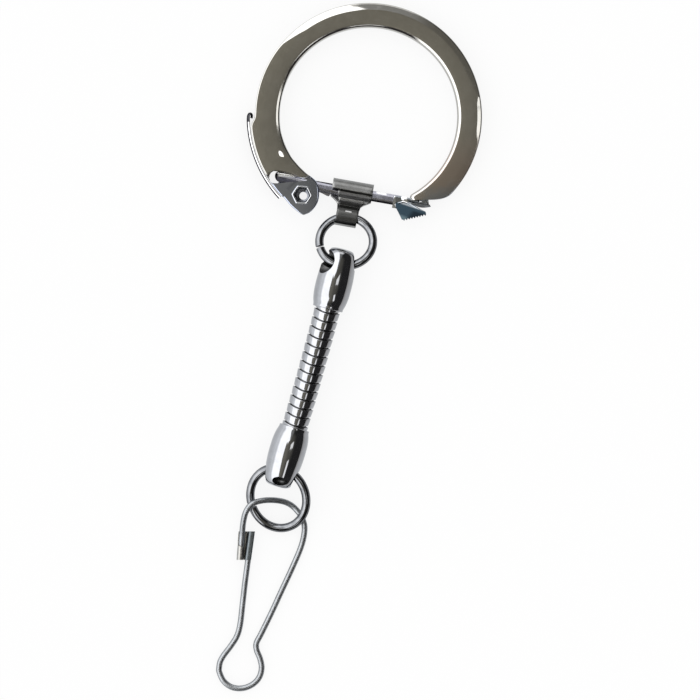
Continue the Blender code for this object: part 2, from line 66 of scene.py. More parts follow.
def unit(v):
    v = np.asarray(v, float)
    return v / np.linalg.norm(v, axis=-1, keepdims=True)


def smoothstep(a, b, x):
    t = np.clip((np.asarray(x, float) - a) / (b - a), 0, 1)
    return t * t * (3 - 2 * t)


def spline(pts, per):
    """Catmull-Rom through the points, per steps a span."""
    pts = np.asarray(pts, float)
    p = np.vstack([2 * pts[0] - pts[1], pts, 2 * pts[-1] - pts[-2]])
    out = []
    for i in range(len(pts) - 1):
        a, b, c, d = p[i], p[i + 1], p[i + 2], p[i + 3]
        for k in range(per):
            t = k / per
            out.append(0.5 * (2 * b + (c - a) * t + (2 * a - 5 * b + 4 * c - d) * t * t
                              + (3 * b - a - 3 * c + d) * t ** 3))
    out.append(pts[-1])
    return np.array(out)


def even(pts, n):
    """The same line, as n points spaced evenly along it."""
    pts = np.asarray(pts, float)
    s = np.concatenate([[0], np.cumsum(np.linalg.norm(np.diff(pts, axis=0), axis=1))])
    t = np.linspace(0, s[-1], n)
    return np.stack([np.interp(t, s, pts[:, k]) for k in range(pts.shape[1])], axis=1)


def relax(pts, rounds):
    """Evens out small kinks in a line, with its ends held."""
    pts = pts.copy()
    for _ in range(rounds):
        pts[1:-1] = 0.25 * pts[:-2] + 0.5 * pts[1:-1] + 0.25 * pts[2:]
    return pts


def fillet(prof, radius, n=4):
    """Rounds each inner corner of a profile; radius is one number or one a point."""
    prof = [np.asarray(p, float) for p in prof]
    rs = [radius] * len(prof) if np.isscalar(radius) else list(radius)
    out = [prof[0]]
    for i in range(1, len(prof) - 1):
        a, b, c = prof[i - 1], prof[i], prof[i + 1]
        la, lc = np.linalg.norm(a - b), np.linalg.norm(c - b)
        r = min(rs[i], 0.45 * la, 0.45 * lc)
        if r < 1e-6:
            out.append(b)
            continue
        s, e = b + (a - b) / la * r, b + (c - b) / lc * r
        for k in range(n + 1):
            t = k / n
            out.append((1 - t) ** 2 * s + 2 * t * (1 - t) * b + t * t * e)
    out.append(prof[-1])
    return np.array(out)


def quads(n, m, wrap_n=False, wrap_m=False, base=0):
    """Faces of an n by m sheet of points."""
    out = []
    for i in range(n if wrap_n else n - 1):
        i2 = (i + 1) % n
        for j in range(m if wrap_m else m - 1):
            j2 = (j + 1) % m
            out.append((base + i * m + j, base + i * m + j2,
                        base + i2 * m + j2, base + i2 * m + j))
    return out


def frames(pts, closed=False, first=None):
    """Tangents and two steady normals along a line."""
    pts = np.asarray(pts, float)
    if closed:
        t = unit(np.roll(pts, -1, 0) - np.roll(pts, 1, 0))
    else:
        t = np.empty_like(pts)
        t[1:-1] = pts[2:] - pts[:-2]
        t[0], t[-1] = pts[1] - pts[0], pts[-1] - pts[-2]
        t = unit(t)
    ref = np.array([0, 0, 1.0]) if first is None else np.asarray(first, float)
    e1 = np.empty_like(pts)
    for i in range(len(pts)):
        ref = ref - t[i] * (ref @ t[i])
        ref = ref / np.linalg.norm(ref)
        e1[i] = ref
    return t, e1, np.cross(t, e1)


def tube(pts, radius, sides=36, closed=False, start="cut", end="cut", lip=0.10):
    """Vertices, faces and lay of a round wire. An end is cut (a flat end with a
    small round lip, mm) or dome."""
    pts = np.asarray(pts, float)
    n = len(pts)
    r = np.full(n, float(radius)) if np.isscalar(radius) else np.asarray(radius, float)
    t, e1, e2 = frames(pts, closed)
    s = np.concatenate([[0], np.cumsum(np.linalg.norm(np.diff(pts, axis=0), axis=1))])
    c, tt, a, b, rr, ss = list(pts), list(t), list(e1), list(e2), list(r), list(s)
    if not closed:
        q = lip * MM

        def cap_rows(k, way, kind):
            if kind == "dome":
                out = [(r[k] * math.cos(x), r[k] * math.sin(x)) for x in np.linspace(0.12, math.pi / 2, 9)[:-1]]
            else:
                out = [(-q * (1 - math.sin(x)), r[k] - q * (1 - math.cos(x)))
                       for x in np.linspace(math.pi / 2, 0, 5)]
            return [(pts[k] + way * t[k] * o, t[k], e1[k], e2[k], w, s[k] + way * o) for o, w in out]

        lo = 0 if start == "dome" else int(np.where(s > q * 1.05)[0][0])
        hi = n if end == "dome" else int(np.where(s < s[-1] - q * 1.05)[0][-1]) + 1
        rows = (cap_rows(0, -1.0, start) + [(pts[i], t[i], e1[i], e2[i], r[i], s[i]) for i in range(lo, hi)]
                + cap_rows(-1, 1.0, end)[::-1])
        c, tt, a, b, rr, ss = map(list, zip(*rows))
    c, a, b, rr, ss = map(np.asarray, (c, a, b, rr, ss))
    ang = np.linspace(0, 2 * math.pi, sides, endpoint=False)
    ca, sa = np.cos(ang), np.sin(ang)
    v = (c[:, None, :] + a[:, None, :] * (rr[:, None] * ca)[..., None]
         + b[:, None, :] * (rr[:, None] * sa)[..., None])
    lay = np.stack([np.repeat(ss[:, None], sides, 1), rr[:, None] * ca, rr[:, None] * sa], axis=-1)
    rows = len(c)
    f = quads(rows, sides, wrap_n=closed, wrap_m=True)
    v, lay = v.reshape(-1, 3), lay.reshape(-1, 3)
    if not closed:
        f.append(tuple(range(sides))[::-1])
        f.append(tuple((rows - 1) * sides + k for k in range(sides)))
    return v, f, lay


def turned(prof, origin, axis, steps=96, up=(0, 0, 1), wave=None):
    """Profile rows (radius, along) in drawing units spun about an axis. wave(r, t, phi)
    gives a shift along the axis; phi is 0 at the front."""
    prof = np.asarray(prof, float)
    axis = unit(axis)
    front = np.asarray(up, float)
    front = unit(front - axis * (front @ axis))
    side = np.cross(axis, front)
    phi = np.linspace(0, 2 * math.pi, steps, endpoint=False)
    r, t = prof[:, 0][:, None], prof[:, 1][:, None]
    dt = wave(r, t, phi[None, :]) if wave else 0.0
    tt = (t + dt) * np.ones_like(phi)[None, :]
    v = (np.asarray(origin)[None, None, :] + axis * (tt * U)[..., None]
         + front * (r * np.cos(phi) * U)[..., None] + side * (r * np.sin(phi) * U)[..., None])
    lay = np.stack([tt * U, r * np.cos(phi) * U, r * np.sin(phi) * U], axis=-1)
    return v.reshape(-1, 3), quads(len(prof), steps, wrap_m=True), lay.reshape(-1, 3)


# ----------------------------------------------------------------- mesh making
def mesh_object(name, verts, faces, mats, lay=None, face_mat=None, sharp=38.0, weld=2e-7):
    me = bpy.data.meshes.new(name)
    me.from_pydata(np.asarray(verts, float).tolist(), [], [tuple(int(i) for i in f) for f in faces])
    at = me.attributes.new("lay", 'FLOAT_VECTOR', 'POINT')
    at.data.foreach_set("vector", np.asarray(verts if lay is None else lay, np.float32).ravel())
    for m in (mats if isinstance(mats, (list, tuple)) else [mats]):
        me.materials.append(m)
    if face_mat is not None:
        me.polygons.foreach_set("material_index", np.asarray(face_mat, np.int32))
    bm = bmesh.new()
    bm.from_mesh(me)
    bmesh.ops.remove_doubles(bm, verts=bm.verts, dist=weld)
    bmesh.ops.dissolve_degenerate(bm, edges=bm.edges, dist=1e-8)
    bmesh.ops.recalc_face_normals(bm, faces=bm.faces)
    bm.to_mesh(me)
    bm.free()
    ob = bpy.data.objects.new(name, me)
    bpy.context.scene.collection.objects.link(ob)
    shade(ob, sharp)
    return ob


def shade(ob, sharp):
    ob.data.shade_smooth()
    ob.data.set_sharp_from_angle(angle=math.radians(sharp))


def outline_solid(name, pts, z0, z1, mat, edge=0.0, segs=4, lift=None, sharp=38.0):
    """Plan outline raised from z0 to z1 (mm) with rounded rims (mm)."""
    bm = bmesh.new()
    f = bm.faces.new([bm.verts.new(plan(x, y, z0)) for x, y in pts])
    ext = bmesh.ops.extrude_face_region(bm, geom=[f])
    up = [g for g in ext["geom"] if isinstance(g, bmesh.types.BMVert)]
    bmesh.ops.translate(bm, verts=up, vec=(0, 0, (z1 - z0) * MM))
    bmesh.ops.recalc_face_normals(bm, faces=bm.faces)
    if edge > 0:
        rims = [e for e in bm.edges if abs(e.verts[0].co.z - e.verts[1].co.z) < 1e-9]
        bmesh.ops.bevel(bm, geom=rims, offset=edge * MM, offset_type='OFFSET',
                        segments=segs, profile=0.5, affect='EDGES', clamp_overlap=True)
    if lift:
        for v in bm.verts:
            v.co.z += lift(v.co)
    me = bpy.data.meshes.new(name)
    bm.to_mesh(me)
    bm.free()
    at = me.attributes.new("lay", 'FLOAT_VECTOR', 'POINT')
    co = np.empty(len(me.vertices) * 3, np.float32)
    me.vertices.foreach_get("co", co)
    at.data.foreach_set("vector", co)
    if mat:
        me.materials.append(mat)
    ob = bpy.data.objects.new(name, me)
    bpy.context.scene.collection.objects.link(ob)
    shade(ob, sharp)
    return ob


def carve(ob, tools, op='DIFFERENCE', sharp=38.0, solver='EXACT'):
    """Cuts the tools out of a piece (or joins them to it) and bakes the result."""
    for t in tools:
        m = ob.modifiers.new("cut", 'BOOLEAN')
        m.operation, m.solver, m.object = op, solver, t
    settle(ob, sharp)
    for t in tools:
        me = t.data
        bpy.data.objects.remove(t, do_unlink=True)
        bpy.data.meshes.remove(me)
    return ob


def settle(ob, sharp=38.0):
    """Bakes a piece's modifiers into its mesh."""
    dg = bpy.context.evaluated_depsgraph_get()
    dg.update()
    me = bpy.data.meshes.new_from_object(ob.evaluated_get(dg), preserve_all_data_layers=True,
                                         depsgraph=dg)
    old = ob.data
    ob.modifiers.clear()
    ob.data = me
    me.name = ob.name
    bpy.data.meshes.remove(old)
    shade(ob, sharp)
    return ob


def soften(ob, width, segs=3, angle=35.0, sharp=38.0):
    """Small round on every hard edge, in mm."""
    m = ob.modifiers.new("soft", 'BEVEL')
    m.width, m.segments, m.limit_method = width * MM, segs, 'ANGLE'
    m.angle_limit = math.radians(angle)
    m.harden_normals = False
    settle(ob, sharp)
    w = ob.modifiers.new("weigh", 'WEIGHTED_NORMAL')
    w.keep_sharp, w.weight = True, 60
    return ob


def done(ob, body, slot, *nodes):
    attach(ob, body)
    if nodes:
        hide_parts(*nodes)
    return ob


# ------------------------------------------------------------------- materials
class Graph:
    """Short hand for one material's nodes."""

    def __init__(self, name):
        self.mat = bpy.data.materials.new(name)
        self.mat.use_nodes = True
        self.t = self.mat.node_tree
        self.bsdf = self.t.nodes["Principled BSDF"]

    def node(self, kind, **k):
        n = self.t.nodes.new(kind)
        for a, b in k.items():
            setattr(n, a, b)
        return n

    def link(self, a, b):
        self.t.links.new(a, b)

    def lay(self, scale, attr="lay"):
        a = self.node("ShaderNodeAttribute", attribute_name=attr)
        m = self.node("ShaderNodeMapping")
        m.inputs["Scale"].default_value = scale
        self.link(a.outputs["Vector"], m.inputs["Vector"])
        return m.outputs["Vector"]

    def noise(self, vec, detail=3.0, rough=0.55, distort=0.0):
        n = self.node("ShaderNodeTexNoise")
        n.inputs["Scale"].default_value = 1.0
        n.inputs["Detail"].default_value = detail
        n.inputs["Roughness"].default_value = rough
        n.inputs["Distortion"].default_value = distort
        self.link(vec, n.inputs["Vector"])
        return n.outputs["Fac"]

    def span(self, fac, a, b, lo, hi, smooth=True):
        n = self.node("ShaderNodeMapRange")
        n.interpolation_type = 'SMOOTHSTEP' if smooth else 'LINEAR'
        n.inputs["From Min"].default_value, n.inputs["From Max"].default_value = a, b
        n.inputs["To Min"].default_value, n.inputs["To Max"].default_value = lo, hi
        self.link(fac, n.inputs["Value"])
        return n.outputs["Result"]

    def math(self, op, a, b):
        n = self.node("ShaderNodeMath", operation=op)
        for i, x in enumerate((a, b)):
            if isinstance(x, (int, float)):
                n.inputs[i].default_value = x
            else:
                self.link(x, n.inputs[i])
        return n.outputs[0]

    def mix(self, fac, a, b):
        n = self.node("ShaderNodeMix", data_type='RGBA')
        for key, x in (("Factor", fac), ("A", a), ("B", b)):
            sock = [s for s in n.inputs if s.name == key and
                    (s.type == 'RGBA' if key != "Factor" else s.type == 'VALUE')][0]
            if isinstance(x, (int, float)):
                sock.default_value = x
            elif isinstance(x, tuple):
                sock.default_value = (*x, 1.0)
            else:
                self.link(x, sock)
        return [s for s in n.outputs if s.type == 'RGBA'][0]


def plated(name, base, deep, rough, grain=(260.0, 9000.0, 9000.0), grain_amount=0.10,
           mottle=900.0, wear=0.5, hair=0.35, ridge=None, painted_light_and_tone=(), bump=0.35, edge=1.0,
           drift=0.4):
    """Plated metal: a slow change of tone, faint drawing lines along the piece, hair
    scratches, fine pits and smudges that dull the shine. Colour patches over given plan
    regions paint highlights and shade on it, and a few give a different tone."""
    g = Graph(name)
    b = g.bsdf
    b.inputs["Metallic"].default_value = 1.0
    b.inputs["Specular Tint"].default_value = (edge, edge, edge, 1.0)
    slow = g.noise(g.lay((mottle, mottle, mottle)), 4.0, 0.6, 0.4)
    lines = g.noise(g.lay(grain), 3.0, 0.6)
    fine = g.noise(g.lay((9000.0, 9000.0, 9000.0)), 2.0, 0.7)
    hairs = g.noise(g.lay((600.0, 14000.0, 4000.0)), 1.0, 0.4, 0.6)
    tone = g.mix(g.span(slow, 0.30, 0.70, 0.0, 1.0), base, deep)
    tone = g.mix(g.span(lines, 0.35, 0.75, 0.0, grain_amount * 2.2), tone,
                 tuple(min(1.0, c * 1.22) for c in base))
    pit = g.span(fine, 0.66, 0.78, 0.0, 0.30 * wear)
    tone = g.mix(pit, tone, tuple(c * 0.35 for c in deep))
    if painted_light_and_tone:
        sep = g.node("ShaderNodeSeparateXYZ")
        geo = g.node("ShaderNodeTexCoord")
        g.link(geo.outputs["Object"], sep.inputs[0])
        wob = g.span(slow, 0.3, 0.7, -drift * MM, drift * MM)
    # each patch mixes its colour over the region inside its plan lines: mostly painted highlights and painted
    # shade
    for colour, edges in painted_light_and_tone:
        fac = None
        for kx, ky, low, high in edges:
            d = g.math('ADD', g.math('MULTIPLY', sep.outputs[0], kx), g.math('MULTIPLY', sep.outputs[1], ky))
            m = g.span(g.math('ADD', d, wob), low, high, 0.0, 1.0)
            fac = m if fac is None else g.math('MULTIPLY', fac, m)
        tone = g.mix(fac, tone, colour)
    g.link(tone, b.inputs["Base Color"])
    smudge = g.noise(g.lay((420.0, 420.0, 420.0)), 5.0, 0.62, 0.8)
    r = g.span(smudge, 0.35, 0.75, rough[0], rough[1])
    scratch = g.span(hairs, 0.70, 0.76, 0.0, 0.10 * hair)
    r = g.math('ADD', r, scratch)
    g.link(r, b.inputs["Roughness"])
    h = g.math('MULTIPLY', lines, 0.55 * grain_amount / 0.10)
    h = g.math('ADD', h, g.math('MULTIPLY', fine, 0.30))
    h = g.math('SUBTRACT', h, g.math('MULTIPLY', scratch, 6.0))
    h = g.math('ADD', h, g.math('MULTIPLY', slow, 1.0))
    if ridge:
        scale, height, near, far = ridge
        w = g.node("ShaderNodeTexWave", wave_type='BANDS', bands_direction='X', wave_profile='SIN')
        w.inputs["Scale"].default_value = 1.0
        w.inputs["Distortion"].default_value = 0.6
        w.inputs["Detail"].default_value = 1.5
        g.link(g.lay(scale), w.inputs["Vector"])
        along = g.node("ShaderNodeSeparateXYZ")
        g.link(g.lay((1.0, 1.0, 1.0)), along.inputs[0])
        where = g.math('MULTIPLY', g.span(along.outputs[0], near, near + 0.003, 0.0, height),
                       g.span(along.outputs[0], far - 0.003, far, 1.0, 0.0))
        h = g.math('ADD', h, g.math('MULTIPLY', w.outputs["Fac"], where))
    relief = g.node("ShaderNodeBump")
    relief.inputs["Strength"].default_value = bump
    relief.inputs["Distance"].default_value = 6.0e-6
    g.link(h, relief.inputs["Height"])
    g.link(relief.outputs["Normal"], b.inputs["Normal"])
    return g.mat


def side_of(x0, y0, x1, y1, soft):
    """Mask edge along a plan line: 0 on its left, 1 on its right, as (kx, ky, low, high)."""
    a, b = plan(x0, y0)[:2], plan(x1, y1)[:2]
    d = (b - a) / np.linalg.norm(b - a)
    nx, ny = d[1], -d[0]
    c = nx * a[0] + ny * a[1]
    return nx, ny, c - soft * U, c + soft * U


m_ring = plated("ring_plate", (0.65, 0.635, 0.60), (0.60, 0.585, 0.55), (0.07, 0.13),
                grain=(240.0, 7000.0, 7000.0), grain_amount=0.04, bump=0.2,
                # painted shadow: near-black patch on the face just left of the see-through window
                painted_light_and_tone=(((0.05, 0.05, 0.055), (side_of(269.5, 160, 269.5, 200, 0.4),
                                              side_of(250, 174.0, 280, 174.0, 1.0),
                                              side_of(250, 182.5, 280, 182.5, -0.5))),
                       # painted shade: darker blue-grey band along the pressed cheek's upper edge, under the
                       # window
                       ((0.36, 0.39, 0.46), (side_of(262, 184.4, 312, 181.6, 0.5),
                                             side_of(262, 187.0, 312, 184.6, -1.0),
                                             side_of(316, 160, 316, 240, 0.6))),
                       # painted reflection: the blue-grey cast that the pressed front cheek shows from its tilt
                       ((0.50, 0.54, 0.65), (side_of(250, 184.6, 309, 177.0, 1.2),
                                             side_of(330, 230, 322, 160, -3.0))),
                       ((0.64, 0.555, 0.505), (side_of(424, 120, 424, 190, -16.0),
                                             side_of(500, 148, 420, 148, -26.0))),
                       ((0.52, 0.54, 0.58), (side_of(424, 120, 424, 190, -4.0),
                                             side_of(500, 178, 420, 194, -9.0)))))
m_rivet = plated("rivet_plate", (0.78, 0.79, 0.80), (0.66, 0.67, 0.69), (0.08, 0.16))
m_bowl = plated("rivet_bowl", (0.20, 0.21, 0.23), (0.12, 0.125, 0.14), (0.20, 0.34), wear=0.8)
m_spring = plated("spring_plate", (0.82, 0.82, 0.83), (0.72, 0.72, 0.74), (0.10, 0.18), bump=0.2)
# near-black and rough: painted shade for the spring's outer rolled edge and curled tip
m_leaf_edge_shade = plated("spring_edge_painted_shade", (0.06, 0.06, 0.066), (0.035, 0.035, 0.04), (0.25, 0.40), edge=0.1)
m_bar = plated("bar_plate", (0.50, 0.50, 0.56), (0.40, 0.40, 0.46), (0.13, 0.24),
               grain=(400.0, 9000.0, 9000.0), grain_amount=0.05, bump=0.15, wear=0.3, drift=0.03,
               # painted shade: dark violet lower part of the tail, inside the window
               painted_light_and_tone=(((0.16, 0.16, 0.20), (side_of(276, 176.4, 318, 185.0, 0.5),
                                            side_of(318, 160, 318, 215, 0.5))),
                      # painted highlight: white lens along the top of the tail
                      ((1.0, 1.0, 1.0), (side_of(277, 176.2, 295.5, 177.2, -0.4),
                                         side_of(277.6, 190, 277.6, 160, 0.3),
                                         side_of(288, 170.6, 297, 178.4, 0.3))),
                      # painted highlight: thin white line along the bar's top edge beside the tail
                      ((1.0, 1.0, 1.0), (side_of(296, 173.6, 313, 181.8, 0.3),
                                         side_of(296, 175.1, 313, 183.3, -0.3),
                                         side_of(314, 160, 314, 215, 0.4))),
                      # painted shade: near-black rounded end of the tail
                      ((0.02, 0.02, 0.03), (side_of(277.2, 160, 277.2, 195, 0.4),)),
                      # painted shade: near-black strip along the bar's top edge between the head and the strap
                      ((0.03, 0.03, 0.035), (side_of(316, 181.4, 336, 185.9, -0.5),
                                             side_of(334, 160, 334, 215, 0.5),
                                             side_of(317.5, 215, 317.5, 160, 0.5))),
                      # painted shade: dark line along the bar's lower edge to the right of the strap
                      ((0.04, 0.04, 0.05), (side_of(371.2, 199.1, 398.7, 203.95, 0.5),
                                            side_of(366, 215, 366, 160, 0.5))),
                      # painted highlight: white streak on the bar's top edge to the right of the strap
                      ((1.0, 1.0, 1.0), (side_of(376, 193.3, 387, 195.4, -0.3),
                                         side_of(376.5, 215, 376.5, 160, 0.3),
                                         side_of(386.5, 160, 386.5, 215, 0.3)))))
m_latch = plated("latch_plate", (0.50, 0.53, 0.56), (0.16, 0.19, 0.22), (0.12, 0.24),
                 grain_amount=0.10, wear=1.0, mottle=2600.0,
                 # painted highlight: white on the small glint facet by the bar's end
                 painted_light_and_tone=(((1.0, 1.0, 1.0), (side_of(398, 200.4, 409, 202.4, -0.4),
                                           side_of(401.0, 215, 401.0, 160, 0.4),
                                           side_of(408.0, 160, 408.0, 215, 0.4))),
                        # painted shade: the tilted plate darkened to deep blue in place of a dark reflection
                        ((0.045, 0.075, 0.10), (side_of(394, 200.6, 427, 211.4, 0.7),)),
                        ((0.75, 0.77, 0.80), (side_of(396.4, 160, 396.4, 230, 0.5),)),
                        ((0.13, 0.19, 0.22), (side_of(392, 211.0, 420, 221.0, 1.6),)),
                        # painted shade: near black over the plate's lower right
                        ((0.02, 0.03, 0.04), (side_of(408, 216.0, 420, 200.0, 3.0),
                                              side_of(394, 203.6, 427, 214.4, 1.6)))), bump=0.6)
m_strap = plated("strap_plate", (0.33, 0.33, 0.325), (0.26, 0.26, 0.255), (0.28, 0.36),
                 grain=(700.0, 700.0, 700.0), grain_amount=0.02, bump=0.05, hair=0.1, wear=0.25, drift=0.02,
                 # painted shadow: black line under the roll, where it laps the tier below
                 painted_light_and_tone=(((0.02, 0.02, 0.02), (side_of(333.5, 187.6, 365, 193.2, 0.4),
                                              side_of(333.5, 190.0, 365, 195.6, -0.5))),
                        # painted shade: the loop round the jump ring darkened
                        ((0.14, 0.14, 0.136), (side_of(335, 207.0, 360, 211.6, 1.0),)),
                        # painted shade: darker still towards the bottom of the loop
                        ((0.09, 0.09, 0.088), (side_of(334, 213.0, 358, 217.4, 2.4),)),
                        # painted highlight: small white glint on the loop
                        ((1.0, 1.0, 1.0), (side_of(335, 206.9, 360, 211.5, 0.3),
                                           side_of(335, 209.6, 360, 214.2, -0.4),
                                           side_of(345.4, 230, 345.4, 190, 0.4),
                                           side_of(351.6, 190, 351.6, 230, 0.4))),
                        # painted highlight: thin pale line along the loop's bottom rim
                        ((0.36, 0.36, 0.35), (side_of(334, 222.6, 358, 227.0, 0.3),)),
                        # painted shade: dark beyond the bottom rim
                        ((0.04, 0.04, 0.04), (side_of(334, 223.9, 358, 228.3, 0.3),)),
                        # painted shade: dark band in the neck fold above the loop
                        ((0.07, 0.07, 0.068), (side_of(335, 202.6, 362, 207.4, 0.8),
                                               side_of(335, 208.6, 360, 213.0, -0.6))),
                        # painted shade: black line just above the bottom rim
                        ((0.02, 0.02, 0.02), (side_of(334, 220.4, 358, 224.8, 0.5),
                                              side_of(334, 222.4, 358, 226.8, -0.4)))))
m_jump = plated("jump_ring_plate", (0.29, 0.295, 0.305), (0.16, 0.165, 0.175), (0.05, 0.11), edge=0.35,
                grain=(220.0, 5000.0, 5000.0), grain_amount=0.06, bump=0.25)
m_cap = plated("cap_plate", (0.455, 0.46, 0.48), (0.40, 0.405, 0.42), (0.04, 0.09),
               grain_amount=0.03, bump=0.15)
m_link = plated("link_plate", (0.475, 0.48, 0.50), (0.39, 0.395, 0.41), (0.05, 0.12),
                grain_amount=0.04, mottle=1600.0, bump=0.25)
# dark metal: painted shade in the links' seams and insides and in the caps' eyes
m_link_shade = plated("link_inside", (0.12, 0.12, 0.12), (0.05, 0.05, 0.05), (0.30, 0.50), wear=1.0)
m_wire = plated("hook_wire", (0.40, 0.415, 0.43), (0.34, 0.35, 0.36), (0.34, 0.42), edge=0.25,
                grain=(120.0, 5000.0, 5000.0), grain_amount=0.06, wear=0.3, hair=0.15,
                ridge=((3400.0, 1700.0, 1700.0), 1.4, 0.021, 0.036), bump=0.3)
m_catch = plated("catch_plate", (0.44, 0.43, 0.405), (0.34, 0.335, 0.32), (0.26, 0.40),
                 grain_amount=0.08, wear=0.6, bump=0.25, drift=0.03,
                 # painted shade: the catch's back leaf darkened between the wires
                 painted_light_and_tone=(((0.17, 0.19, 0.20), (side_of(244.4, 560, 247.2, 531.6, 0.6),)),))


# ------------------------------------------------------------------ the C ring
CX, CY, RO, RI, HEAD = 368.5, 116.5, 113.5, 88.8, 118.0
RING_T, WALL = 2.8, 0.48
PIN = (302.0, 195.0)


def polar(r, deg):
    a = math.radians(deg)
    return CX + r * math.cos(a), CY - r * math.sin(a)


